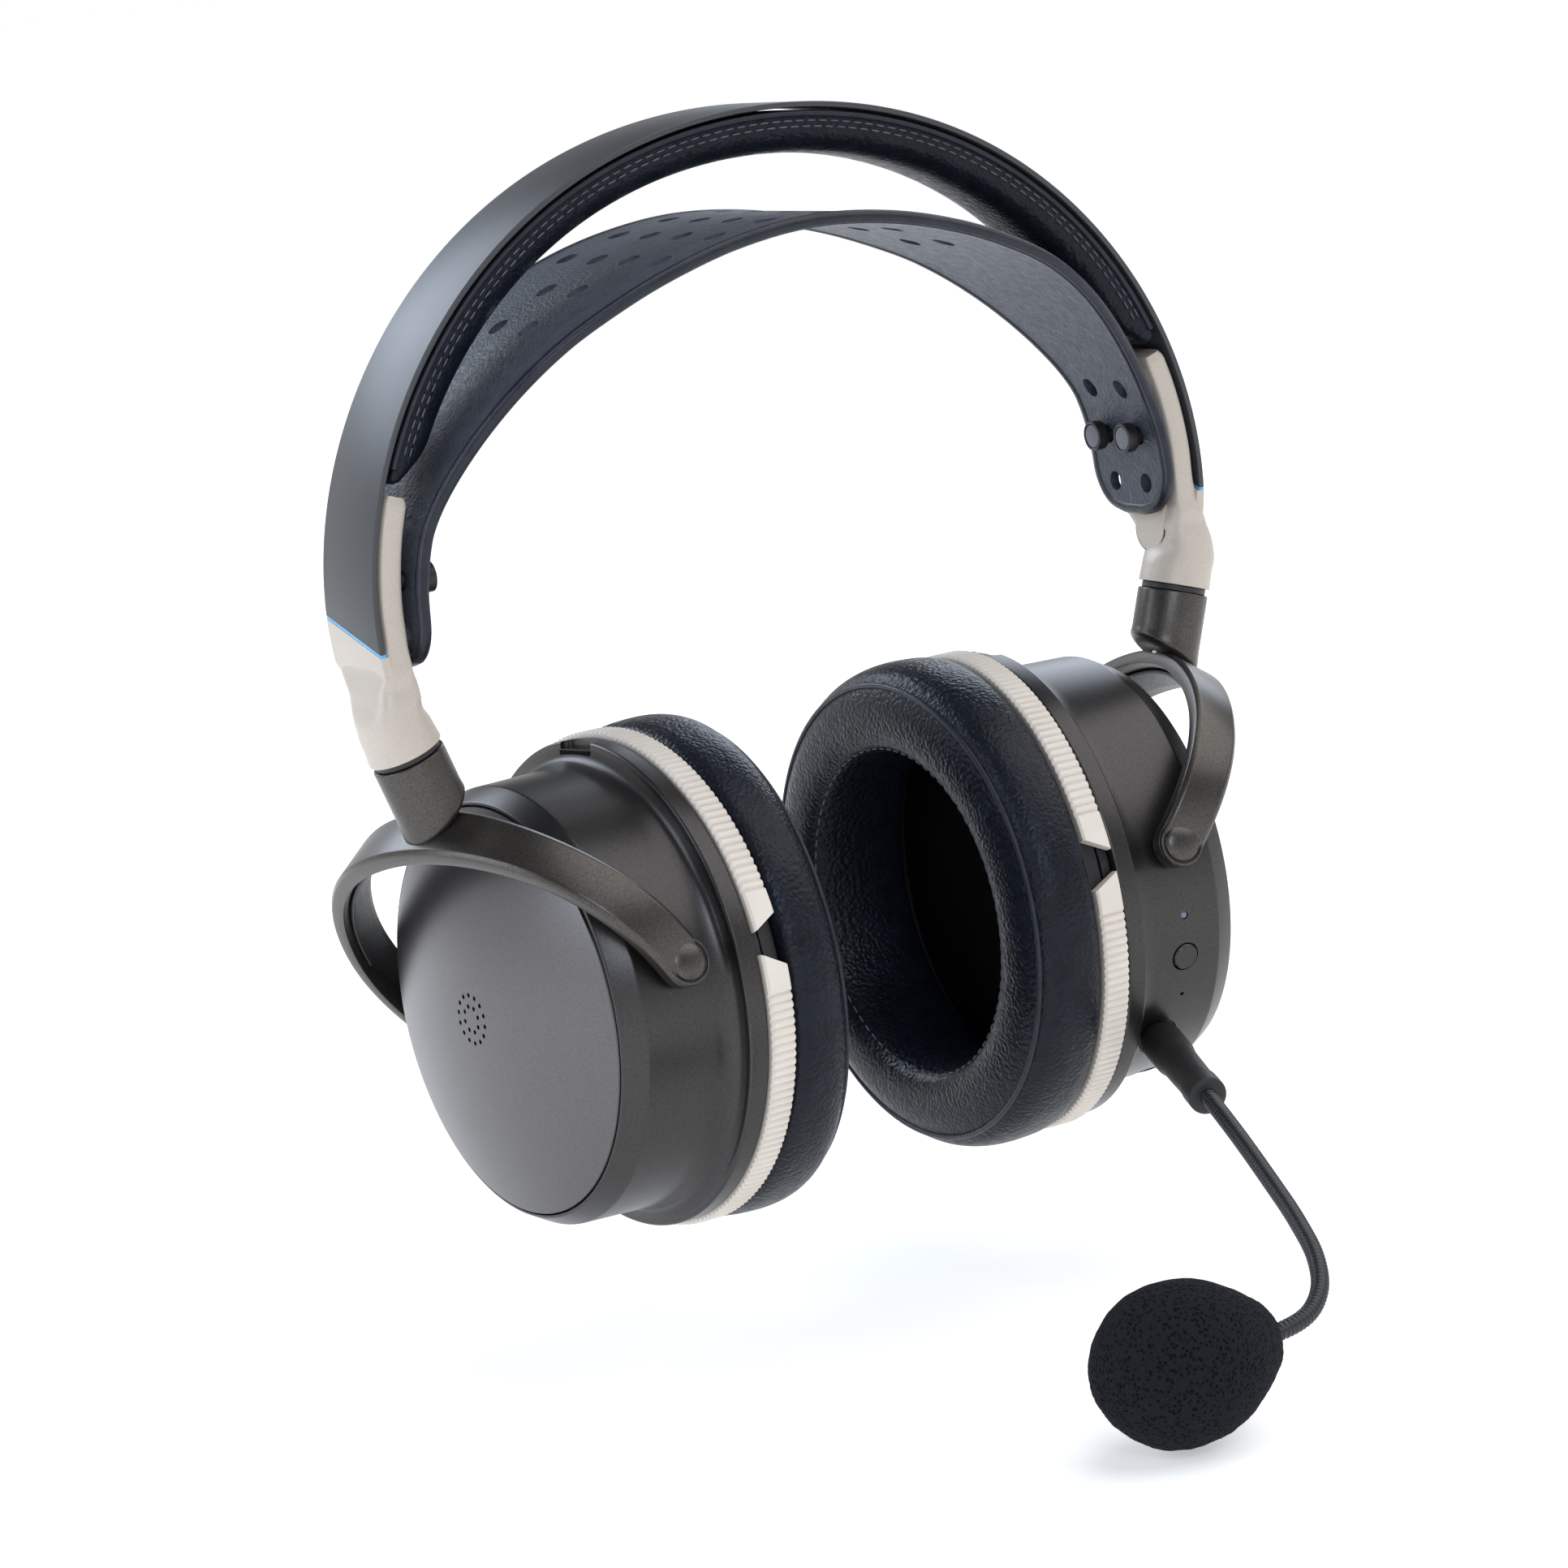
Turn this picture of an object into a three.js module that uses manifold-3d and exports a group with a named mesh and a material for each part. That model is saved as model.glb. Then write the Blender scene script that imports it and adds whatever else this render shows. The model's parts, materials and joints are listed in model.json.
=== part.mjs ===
// Wireless over-ear headset with a suspension strap and a detachable boom microphone.
// Millimetres, +Z up, +X to the wearer's left, -Y forward. The origin lies midway between the ear cups.
import * as THREE from 'three';
import { mergeVertices } from 'three/addons/utils/BufferGeometryUtils.js';
import Module from 'manifold-3d';

const wasm = await Module();
wasm.setup();

// ---------- driving dimensions ----------
const GAP = 0.3;                      // clearance between neighbouring pieces
const ARC_STEPS = 28;                 // facets round a cup

// headband arch: polar radius about a point on the mid-plane, measured from straight up
const ARCH = { centreZ: 95.4, mean: 90.6, cos1: -7.2, cos2: -7.5, cos3: 2.75, cos4: -0.7 };
const BAND = { width: 23.8, thick: 1.2, frontTip: 99.8, rearTip: 96.1 };
const BAND_PAD = { width: 22.6, thick: 9, end: 80, inset: 1.6 };
const STRAP = { thick: 2.6, endHalfWidth: 14, crownHalfWidth: 31, endZ: 75, crownZ: 150, sideX: 88.4 };
const STRAP_HOLE = { radius: 2.1, rowPitch: 10.5, spacing: 11.8, middleZ: 91.2 };
const STUD = { headRadius: 3.2, headHigh: 3.2, shankRadius: 1.6, clearShare: 0.25 };
const CAP = { top: 81.2, inset: 1.6, thick: 5.6, width: 22.4 };
const SIDE_PLATE = { halfWidth: 4.6, length: 9.5, thick: 0.6, x: 90.52, y: -2.2, z: 75.4, lean: 0.19 };

// arm that hangs from each end cap
const NECK = { x: 92.5, y: -4.5, z: 57.2, lean: 0.319, radius: 7.75 };
const ROD = { radius: 2.5, above: 11.5, below: 15 };
const WASHER = { radius: 6.7, thick: 0.8 };
const COLLAR = { radius: 7.6, length: 20 };
const YOKE = { pivotX: 61, span: 51.5, reachX: 31, reachZ: 40, thick: 3.6, width: 10, square: 2.2,
  bulge: 0.32 };
const LINER = { thick: 0.8, width: 6.4, from: 0.16, to: 0.84 };
const PIVOT = { pinRadius: 2, capRadius: 3.9, capHigh: 1.5, recess: 1.1 };

// cups: distances outward from the mid-plane, radii about the cup's own axis
const CUP = { rake: -0.231, out: 0.9, back: 0.9, down: 1.6, splay: 0.016 };
const TOE_IN = { left: 0.065, right: 0.099 };
const HOUSING = { flangeIn: 44.9, flangeOut: 49.5, flangeRadius: 51.2, wallRadius: 46.2, wall: 2.5,
  chamferIn: 70.4, rimX: 74.7, rimRadius: 42.8 };
const PLATE = { radius: 42.4, rimX: 75, rise: 7.8, thick: 1.6 };
const BAFFLE = { outX: 44.5, thick: 1.9, radius: 49.2, hole: 37 };
const DRIVER = { radius: 36.6, inX: 39.6, outX: 49 };
const KNURL = { inX: 38.8, outX: 44.5, inner: 49.6, outer: 52.3, gapHalfAngle: 0.055 };
const PAD_FRAME = { inX: 38.9, outX: 42.2, inner: 37.6, outer: 49.2 };
const PAD = { baseX: 38.5, faceX: 18, slope: 6, bulgeRadius: 53.3, openingRadius: 33.5 };
const VENT = { angle: 1.36, x: 48.6, length: 12, width: 3, deep: 2.6 };

// things on the left cup's wall: angle below straight ahead, distance out
const BUTTON = { angle: 0.528, x: 61.6, radius: 2.9, proud: 0.5 };
const LIGHT = { angle: 0.325, x: 61.7, radius: 0.9 };
const WHEEL = { angle: 2.75, x: 61.6, radius: 8.5, thick: 4.2, proud: 1.4, axle: 1.3 };
const SOCKET_USB = { angle: 1.492, x: 63.5, length: 9.4, width: 3.6, deep: 6.5 };
const BOARD = { radius: 32, thick: 1.6, x: 56 };
const BATTERY = { thick: 8, wide: 30, tall: 40, x: 54 };

// boom microphone
const BOOM_EXIT = new THREE.Vector3(57.4, -33.4, -31.6);
const BOOM_AIM = new THREE.Vector3(-0.28, -0.944, -0.174).normalize();
const PLUG = { radius: 2.7, length: 14 };
const BOOM_SOCKET = { outer: 5, inner: 3.1, length: 15 };
const BOOT = { length: 33, baseRadius: 5.2, tipRadius: 4.1, start: 0.6 };
const NECK_TUBE = { radius: 1.85, sides: 8, knuckle: 1.75, apart: 2 };
const BOOM_ROUTE = [[43.6, -81.1, -41.8], [39, -97.5, -46.8], [34.5, -112.4, -51.4],
  [30, -124.3, -55.6], [24.8, -132.2, -59], [18.4, -137, -61.3], [11.5, -138.8, -62.2], [5, -138.6, -62.4]];
const FOAM = { length: 38, radius: 15.8, neck: 5.4 };
const CAPSULE = { radius: 4.6, length: 9 };

// ---------- colours ----------
const GUNMETAL = { color: '#5a5552', roughness: 0.42, metalness: 0.75 };
const BAND_GREY = { color: '#4b4c4e', roughness: 0.45, metalness: 0.5 };
const BEIGE = { color: '#d8cfc6', roughness: 0.4, metalness: 0.35 };
const IVORY = { color: '#e6ded4', roughness: 0.5, metalness: 0 };
const BLACK = { color: '#17181b', roughness: 0.6, metalness: 0 };
const LEATHER = { color: '#1d212b', roughness: 0.55, metalness: 0 };
const SLATE = { color: '#3b404b', roughness: 0.6, metalness: 0 };
const STEEL = { color: '#a9abae', roughness: 0.3, metalness: 1 };
const BOARD_GREEN = { color: '#1f4b37', roughness: 0.6, metalness: 0 };
const FOAM_BLACK = { color: '#141518', roughness: 0.95, metalness: 0 };
const LENS = { color: '#dfe6ea', roughness: 0.2, metalness: 0 };

// ---------- helpers ----------
const X = new THREE.Vector3(1, 0, 0);
const Y = new THREE.Vector3(0, 1, 0);
const Z = new THREE.Vector3(0, 0, 1);

function solid(geometry) {
  const bare = geometry.clone();
  bare.deleteAttribute('normal');
  bare.deleteAttribute('uv');
  const merged = mergeVertices(bare, 1e-4);
  return new wasm.Manifold(new wasm.Mesh({
    numProp: 3,
    vertProperties: new Float32Array(merged.attributes.position.array),
    triVerts: new Uint32Array(merged.index.array),
  }));
}

function geometryOf(body) {
  const data = body.getMesh();
  const geometry = new THREE.BufferGeometry();
  geometry.setAttribute('position', new THREE.BufferAttribute(new Float32Array(data.vertProperties), 3));
  geometry.setIndex(new THREE.BufferAttribute(new Uint32Array(data.triVerts), 1));
  return geometry;
}

function cut(geometry, cutters) {
  let body = solid(geometry);
  for (const cutter of cutters) body = body.subtract(solid(cutter));
  return geometryOf(body);
}

function piece(parent, name, geometry, look) {
  const mesh = new THREE.Mesh(geometry, new THREE.MeshStandardMaterial(look));
  mesh.name = name;
  parent.add(mesh);
  return mesh;
}

// A closed solid through rings that all have the same number of points, with flat ends.
function loft(rings) {
  const size = rings[0].length;
  const positions = [];
  const index = [];
  for (const ring of rings) for (const p of ring) positions.push(p.x, p.y, p.z);
  for (let i = 0; i + 1 < rings.length; i++) {
    for (let j = 0; j < size; j++) {
      const k = (j + 1) % size;
      const a = i * size + j;
      const b = i * size + k;
      index.push(a, b, b + size, a, b + size, a + size);
    }
  }
  const last = (rings.length - 1) * size;
  for (let j = 1; j + 1 < size; j++) {
    index.push(0, j + 1, j);
    index.push(last, last + j, last + j + 1);
  }
  const geometry = new THREE.BufferGeometry();
  geometry.setAttribute('position', new THREE.Float32BufferAttribute(positions, 3));
  geometry.setIndex(index);
  return outward(geometry);
}

// A turned solid about X: profile points are [distance outward, radius]; side is +1 left, -1 right.
function turned(profile, side, segments = ARC_STEPS) {
  const points = profile.map(([x, radius]) => new THREE.Vector2(radius, x));
  const geometry = new THREE.LatheGeometry(points, segments);
  return outward(geometry).rotateZ(-side * Math.PI / 2);
}

// Faces point out only for one drawing direction, so the winding is checked and turned if needed.
function outward(geometry) {
  const index = Array.from(geometry.index.array);
  const positions = geometry.attributes.position;
  const p = new THREE.Vector3();
  const q = new THREE.Vector3();
  const r = new THREE.Vector3();
  let volume = 0;
  for (let i = 0; i < index.length; i += 3) {
    p.fromBufferAttribute(positions, index[i]);
    q.fromBufferAttribute(positions, index[i + 1]);
    r.fromBufferAttribute(positions, index[i + 2]);
    volume += p.dot(q.cross(r));
  }
  if (volume < 0) geometry.setIndex(index.reverse());
  return geometry;
}

// A cylinder between two points.
function rodBetween(from, to, radius, segments = 16) {
  const along = to.clone().sub(from);
  const geometry = new THREE.CylinderGeometry(radius, radius, along.length(), segments);
  const turn = new THREE.Quaternion().setFromUnitVectors(Y, along.clone().normalize());
  geometry.applyQuaternion(turn);
  return geometry.translate(...from.clone().add(to).multiplyScalar(0.5).toArray());
}

// ---------- headband ----------
function archRadius(angle) {
  return ARCH.mean + ARCH.cos1 * Math.cos(angle) + ARCH.cos2 * Math.cos(2 * angle)
    + ARCH.cos3 * Math.cos(3 * angle) + ARCH.cos4 * Math.cos(4 * angle);
}

function archPoint(angle, inset, y) {
  const at = (a) => new THREE.Vector3(Math.sin(a), 0, Math.cos(a)).multiplyScalar(archRadius(a));
  const step = 0.001;
  const tangent = at(angle + step).sub(at(angle - step)).normalize();
  const normal = new THREE.Vector3(-tangent.z, 0, tangent.x);
  return at(angle).addScaledVector(normal, -inset).add(new THREE.Vector3(0, y, ARCH.centreZ));
}

function springBand() {
  const steps = 34;
  const rings = [];
  for (let i = 0; i <= steps; i++) {
    const share = 2 * i / steps - 1;
    const front = THREE.MathUtils.degToRad(BAND.frontTip) * share;
    const rear = THREE.MathUtils.degToRad(BAND.rearTip) * share;
    const half = BAND.width / 2;
    rings.push([archPoint(front, 0, -half), archPoint(rear, 0, half),
      archPoint(rear, BAND.thick, half), archPoint(front, BAND.thick, -half)]);
  }
  return loft(rings);
}

function bandPad() {
  const steps = 26;
  const end = THREE.MathUtils.degToRad(BAND_PAD.end);
  const half = BAND_PAD.width / 2;
  const round = 2.6;
  const top = BAND_PAD.inset;
  const bottom = top + BAND_PAD.thick;
  const outline = [[top, -half], [top, half], [bottom - round, half], [bottom, half - round],
    [bottom, round - half], [bottom - round, -half]];
  const rings = [];
  for (let i = 0; i <= steps; i++) {
    const angle = end * (2 * i / steps - 1);
    rings.push(outline.map(([inset, y]) => archPoint(angle, inset, y)));
  }
  return loft(rings);
}

// The strap's centre line: straight hanging ends, then a low crown.
function strapLine() {
  const half = [[0, 0], [18, 1.8], [34, 6], [46, 10.8], [57, 16.6], [68, 25.4], [78, 37], [84.6, 48], [87.6, 58],
    [STRAP.sideX, 66], [STRAP.sideX, STRAP.crownZ - STRAP.endZ]];
  const left = half.map(([x, drop]) => new THREE.Vector3(x, 0, STRAP.crownZ - drop));
  const right = half.slice(1).reverse().map(([x, drop]) => new THREE.Vector3(-x, 0, STRAP.crownZ - drop));
  return new THREE.CatmullRomCurve3([...right, ...left], false, 'centripetal');
}

function strapHalfWidth(z) {
  const rise = THREE.MathUtils.clamp((z - 100) / (STRAP.crownZ - 4 - 100), 0, 1);
  const bend = rise * rise * (3 - 2 * rise);
  return STRAP.endHalfWidth + (STRAP.crownHalfWidth - STRAP.endHalfWidth) * (0.45 * rise + 0.55 * bend);
}

function strapX(z) {
  const samples = strapLine().getPoints(200).filter((p) => p.x > 0);
  return samples.reduce((best, p) => (Math.abs(p.z - z) < Math.abs(best.z - z) ? p : best)).x;
}

function studPlaces(side) {
  const x = strapX(STRAP_HOLE.middleZ);
  return [-1, 1].map((end) => new THREE.Vector3(side * x, end * STRAP_HOLE.spacing / 2, STRAP_HOLE.middleZ));
}

function suspensionStrap() {
  const line = strapLine();
  const steps = 36;
  const rings = [];
  for (let i = 0; i <= steps; i++) {
    const share = i / steps;
    const centre = line.getPointAt(share);
    const tangent = line.getTangentAt(share);
    const normal = new THREE.Vector3(-tangent.z, 0, tangent.x);
    const half = strapHalfWidth(centre.z);
    const tip = Math.min(1, 0.72 + 4 * Math.min(share, 1 - share));
    rings.push([[1, -1], [1, 1], [-1, 1], [-1, -1]].map(([up, across]) =>
      centre.clone().addScaledVector(normal, up * STRAP.thick / 2).setY(across * half * tip)));
  }
  const holes = [];
  for (const side of [-1, 1]) {
    for (const place of studPlaces(side)) {
      for (const row of [-1, 0, 1]) {
        const centre = place.clone().addScaledVector(Z, row * STRAP_HOLE.rowPitch);
        const reach = X.clone().multiplyScalar(6);
        holes.push(rodBetween(centre.clone().sub(reach), centre.clone().add(reach), STRAP_HOLE.radius, 8));
      }
    }
  }
  return cut(loft(rings), holes);
}

function strapStud(side, place) {
  const end = STUD.headHigh + STUD.headRadius * STUD.clearShare + STRAP.thick + GAP;
  const profile = [[0, 0], [0, STUD.headRadius], [STUD.headHigh, STUD.headRadius],
    [STUD.headHigh, STUD.shankRadius], [end, STUD.shankRadius], [end, 0]];
  const face = Math.abs(place.x) - STRAP.thick / 2 - STUD.headRadius * STUD.clearShare - STUD.headHigh;
  return turned(profile, side, 12).translate(side * face, place.y, place.z);
}

// The end cap grips the band, then narrows to the round neck that the arm hangs from.
function neckAxis(side) {
  return new THREE.Vector3(side * Math.sin(NECK.lean), 0, Math.cos(NECK.lean));
}

function neckPoint(side, up) {
  return new THREE.Vector3(side * NECK.x, NECK.y, NECK.z).addScaledVector(neckAxis(side), up);
}

function capRing(centre, thickDirection, halfThick, halfWidth, square) {
  const ring = [];
  const count = 16;
  for (let i = 0; i < count; i++) {
    const angle = 2 * Math.PI * i / count;
    const power = 2 / square;
    const across = Math.sign(Math.cos(angle)) * Math.abs(Math.cos(angle)) ** power;
    const deep = Math.sign(Math.sin(angle)) * Math.abs(Math.sin(angle)) ** power;
    const point = centre.clone().addScaledVector(thickDirection, deep * halfThick);
    ring.push(point.add(new THREE.Vector3(0, across * halfWidth, 0)));
  }
  return ring;
}

function endCap(side) {
  const rings = [];
  const half = CAP.thick / 2;
  for (const degrees of [CAP.top, 85.5, 90, 94.5, 99]) {
    const angle = side * THREE.MathUtils.degToRad(degrees);
    const centre = archPoint(angle, CAP.inset + half, 0);
    const out = archPoint(angle, 0, 0).sub(centre).setY(0).normalize();
    rings.push(capRing(centre, out, half, CAP.width / 2, 7));
  }
  const across = new THREE.Vector3(side * Math.cos(NECK.lean), 0, -Math.sin(NECK.lean));
  const flat = new THREE.Vector3(side, 0, -0.08).normalize();
  rings.push(capRing(new THREE.Vector3(side * 94.4, -0.2, 74.8), flat, 3.6, 11.6, 6));
  rings.push(capRing(new THREE.Vector3(side * 94.9, -3.3, 69.8), flat, 4.9, 8.6, 4));
  rings.push(capRing(neckPoint(side, 8), across, 6.4, 8.1, 2.6));
  rings.push(capRing(neckPoint(side, 4), across, 7.4, NECK.radius, 2.1));
  rings.push(capRing(neckPoint(side, GAP), across, NECK.radius, NECK.radius, 2));
  const bore = rodBetween(neckPoint(side, -2), neckPoint(side, ROD.above + GAP), ROD.radius + GAP, 16);
  return cut(loft(rings), [bore]);
}

// Thin plate on the cap's inner side, square at the top and round at its foot.
function sidePlate(side) {
  const half = SIDE_PLATE.halfWidth;
  const profile = new THREE.Shape();
  profile.moveTo(-half, 0);
  profile.lineTo(-half, half - SIDE_PLATE.length);
  profile.absarc(0, half - SIDE_PLATE.length, half, Math.PI, 2 * Math.PI, false);
  profile.lineTo(half, 0);
  const plate = new THREE.ExtrudeGeometry(profile, { depth: SIDE_PLATE.thick, bevelEnabled: false,
    curveSegments: 12 });
  const up = new THREE.Vector3(side * Math.sin(SIDE_PLATE.lean), 0, Math.cos(SIDE_PLATE.lean));
  const inward = new THREE.Vector3(-side * Math.cos(SIDE_PLATE.lean), 0, Math.sin(SIDE_PLATE.lean));
  plate.applyMatrix4(new THREE.Matrix4().makeBasis(up.clone().cross(inward), up, inward));
  return plate.translate(side * SIDE_PLATE.x, SIDE_PLATE.y, SIDE_PLATE.z);
}

// ---------- arms ----------
// The bail's outline in its own plane: across is front to rear, up is away from the pivots.
function bailPoint(angle, inset) {
  const reach = Math.hypot(YOKE.reachX, YOKE.reachZ);
  const at = (a) => {
    const power = 2 / YOKE.square;
    const lift = Math.abs(Math.sin(a)) ** power;
    const across = -Math.sign(Math.cos(a)) * Math.abs(Math.cos(a)) ** power;
    return new THREE.Vector2(across * YOKE.span * (1 + YOKE.bulge * lift * (1 - lift)), lift * reach);
  };
  const step = 0.002;
  const low = Math.max(angle - step, 0);
  const high = Math.min(angle + step, Math.PI);
  const tangent = at(high).sub(at(low)).normalize();
  return at(angle).add(new THREE.Vector2(tangent.y, -tangent.x).multiplyScalar(inset));
}

function bailBand(insetOut, insetIn, width, from, to, tail, side, steps) {
  const outline = [];
  if (tail > 0) outline.push(new THREE.Vector2(-YOKE.span + insetOut, -tail));
  const angle = (i) => Math.PI * (from + (to - from) * i / steps);
  for (let i = 0; i <= steps; i++) outline.push(bailPoint(angle(i), insetOut));
  if (tail > 0) {
    outline.push(new THREE.Vector2(YOKE.span - insetOut, -tail));
    outline.push(new THREE.Vector2(YOKE.span - insetIn, -tail));
  }
  for (let i = steps; i >= 0; i--) outline.push(bailPoint(angle(i), insetIn));
  if (tail > 0) outline.push(new THREE.Vector2(-YOKE.span + insetIn, -tail));
  return inBailPlane(outline, width, side);
}

// Extrudes an outline drawn in the bail's plane, centred on that plane.
function inBailPlane(outline, width, side) {
  const geometry = new THREE.ExtrudeGeometry(new THREE.Shape(outline), { depth: width, bevelEnabled: false });
  const up = new THREE.Vector3(side * YOKE.reachX, 0, YOKE.reachZ).normalize();
  const third = Y.clone().cross(up);
  geometry.applyMatrix4(new THREE.Matrix4().makeBasis(Y, up, third));
  return geometry.translate(side * YOKE.pivotX - third.x * width / 2, 0, -third.z * width / 2);
}

// The open space inside the bail, which the collar must not fill.
function bailInside(side) {
  const outline = [];
  for (let i = 0; i <= 20; i++) outline.push(bailPoint(Math.PI * i / 20, YOKE.thick));
  return inBailPlane(outline, COLLAR.length * 3, side);
}

// Each cup's own frame: raked so that the pivots' front ends stand higher, and splayed at the bottom.
function cupFrame(side) {
  const place = new THREE.Matrix4().makeTranslation(side * CUP.out, CUP.back, -CUP.down);
  const rake = new THREE.Matrix4().makeRotationX(CUP.rake);
  return place.multiply(rake).multiply(new THREE.Matrix4().makeRotationY(-side * CUP.splay));
}

function pivotRod(side, end, from, to, radius, segments = 16) {
  return rodBetween(new THREE.Vector3(side * YOKE.pivotX, end * from, 0),
    new THREE.Vector3(side * YOKE.pivotX, end * to, 0), radius, segments);
}

function yoke(side) {
  const bail = bailBand(0, YOKE.thick, YOKE.width, 0, 1, YOKE.width / 2, side, 22);
  const cutters = [];
  for (const end of [-1, 1]) {
    cutters.push(pivotRod(side, end, YOKE.span - 6, YOKE.span + 2, PIVOT.pinRadius + GAP, 12));
    cutters.push(pivotRod(side, end, YOKE.span - PIVOT.recess, YOKE.span + 2, PIVOT.capRadius + GAP));
  }
  const cast = cut(bail, cutters).applyMatrix4(cupFrame(side));
  const collarTop = -WASHER.thick - GAP;
  const collarEnd = collarTop - COLLAR.length;
  const collar = rodBetween(neckPoint(side, collarTop), neckPoint(side, collarEnd), COLLAR.radius, 24);
  const body = solid(cast).add(solid(collar).subtract(solid(bailInside(side).applyMatrix4(cupFrame(side)))));
  const bore = rodBetween(neckPoint(side, 2), neckPoint(side, -ROD.below - GAP), ROD.radius + GAP, 16);
  return geometryOf(body.subtract(solid(bore)));
}

function swivelWasher(side) {
  const profile = [[0, ROD.radius + GAP], [0, WASHER.radius], [WASHER.thick, WASHER.radius],
    [WASHER.thick, ROD.radius + GAP], [0, ROD.radius + GAP]];
  const geometry = outward(new THREE.LatheGeometry(profile.map(([up, r]) => new THREE.Vector2(r, up)), 24));
  geometry.applyQuaternion(new THREE.Quaternion().setFromUnitVectors(Y, neckAxis(side)));
  return geometry.translate(...neckPoint(side, -WASHER.thick).toArray());
}

function pivotCap(side, end) {
  const low = YOKE.span - PIVOT.recess + GAP;
  const profile = [[0, 0], [0, PIVOT.capRadius], [PIVOT.recess - GAP, PIVOT.capRadius],
    [PIVOT.capHigh * 0.85, PIVOT.capRadius * 0.6], [PIVOT.capHigh, 0]];
  const geometry = outward(new THREE.LatheGeometry(profile.map(([up, r]) => new THREE.Vector2(r, up)), 20));
  if (end < 0) geometry.rotateZ(Math.PI);
  return geometry.translate(side * YOKE.pivotX, end * low, 0);
}

// ---------- cups ----------
// A cutter or piece whose axis runs radially through the cup wall; angle is measured down from straight ahead.
function radialRod(side, angle, x, from, to, radius, segments = 12) {
  const out = new THREE.Vector3(0, -Math.cos(angle), -Math.sin(angle));
  const place = new THREE.Vector3(side * x, 0, 0);
  return rodBetween(place.clone().addScaledVector(out, from), place.clone().addScaledVector(out, to), radius, segments);
}

function radialBox(side, angle, x, from, to, round, along) {
  const box = new THREE.BoxGeometry(along, to - from, round);
  box.translate(side * x, -(from + to) / 2, 0);
  return box.rotateX(angle);
}

function boomInCup(matrix) {
  const toCup = matrix.clone().invert();
  const from = BOOM_EXIT.clone().addScaledVector(BOOM_AIM, -BOOM_SOCKET.length).applyMatrix4(toCup);
  const to = BOOM_EXIT.clone().addScaledVector(BOOM_AIM, 20).applyMatrix4(toCup);
  return rodBetween(from, to, BOOT.baseRadius + GAP, 16);
}

function housing(side, matrix) {
  const h = HOUSING;
  const inner = h.wallRadius - h.wall;
  const profile = [[h.flangeIn, inner], [h.flangeIn, h.flangeRadius], [h.flangeOut, h.flangeRadius],
    [h.flangeOut + 1.4, h.flangeRadius - 1], [h.flangeOut + 3, h.wallRadius + 1.2], [h.flangeOut + 6.5, h.wallRadius],
    [h.chamferIn, h.wallRadius - 0.4], [h.rimX, h.rimRadius + 0.4], [h.rimX, h.rimRadius],
    [h.rimX - 3, h.rimRadius], [h.rimX - 3, inner - 2], [h.rimX - 5, inner - 2], [h.rimX - 7, inner],
    [h.flangeIn, inner]];
  const cutters = [radialBox(side, -VENT.angle, VENT.x, h.flangeRadius - VENT.deep - 1, h.flangeRadius + 3,
    VENT.length, VENT.width)];
  for (const end of [-1, 1]) cutters.push(pivotRod(side, end, 30, 50, PIVOT.pinRadius + GAP, 12));
  if (side > 0) {
    cutters.push(radialRod(side, BUTTON.angle, BUTTON.x, 40, 50, BUTTON.radius + GAP));
    cutters.push(radialRod(side, LIGHT.angle, LIGHT.x, 40, 50, LIGHT.radius + GAP, 8));
    cutters.push(radialBox(side, SOCKET_USB.angle, SOCKET_USB.x, 36, 52, SOCKET_USB.length + 2 * GAP,
      SOCKET_USB.width + 2 * GAP));
    cutters.push(radialBox(side, WHEEL.angle, WHEEL.x, 40, 52, 2 * WHEEL.radius, WHEEL.thick + 4 * GAP));
    cutters.push(boomInCup(matrix));
  }
  return cut(turned(profile, side), cutters);
}

function coverPlate(side) {
  const p = PLATE;
  const outer = [];
  const inner = [];
  const steps = 4;
  for (let i = 0; i <= steps; i++) {
    const share = i / steps;
    outer.push([p.rimX + p.rise * (1 - share * share), p.radius * share]);
    inner.push([p.rimX - p.thick + p.rise * (1 - share * share), p.radius * share]);
  }
  return turned([...inner, ...outer.reverse()], side);
}

function ringSector(side, inX, outX, inner, outer, from, to, steps) {
  const shape = new THREE.Shape();
  const at = (radius, angle) => [radius * Math.cos(angle), radius * Math.sin(angle)];
  shape.moveTo(...at(outer, from));
  for (let i = 1; i <= steps; i++) shape.lineTo(...at(outer, from + (to - from) * i / steps));
  for (let i = steps; i >= 0; i--) shape.lineTo(...at(inner, from + (to - from) * i / steps));
  const geometry = new THREE.ExtrudeGeometry(shape, { depth: outX - inX, bevelEnabled: false });
  geometry.applyMatrix4(new THREE.Matrix4().makeBasis(Y, Z, X));
  return geometry.translate(side > 0 ? inX : -outX, 0, 0);
}

function tube(side, inX, outX, inner, outer) {
  return turned([[inX, inner], [inX, outer], [outX, outer], [outX, inner], [inX, inner]], side);
}

function earPad(side) {
  const p = PAD;
  const deep = p.baseX - p.faceX;
  const profile = [[0, p.openingRadius + 3], [0, p.bulgeRadius - 3], [0.3, p.bulgeRadius - 0.4],
    [0.66, p.bulgeRadius - 0.6], [0.9, p.bulgeRadius - 4.8], [1, p.bulgeRadius - 10.5],
    [0.94, p.openingRadius + 3], [0.6, p.openingRadius], [0, p.openingRadius + 3]];
  const geometry = turned(profile.map(([share, radius]) => [p.baseX - share * deep, radius]), side);
  const positions = geometry.attributes.position;
  for (let i = 0; i < positions.count; i++) {
    const x = positions.getX(i) * side;
    const share = (p.baseX - x) / deep;
    positions.setX(i, side * (x - p.slope * share * positions.getY(i) / p.bulgeRadius));
  }
  return geometry;
}

function driver(side) {
  return turned([[DRIVER.inX, 0], [DRIVER.inX, DRIVER.radius], [DRIVER.outX, DRIVER.radius], [DRIVER.outX, 0]], side);
}

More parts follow.
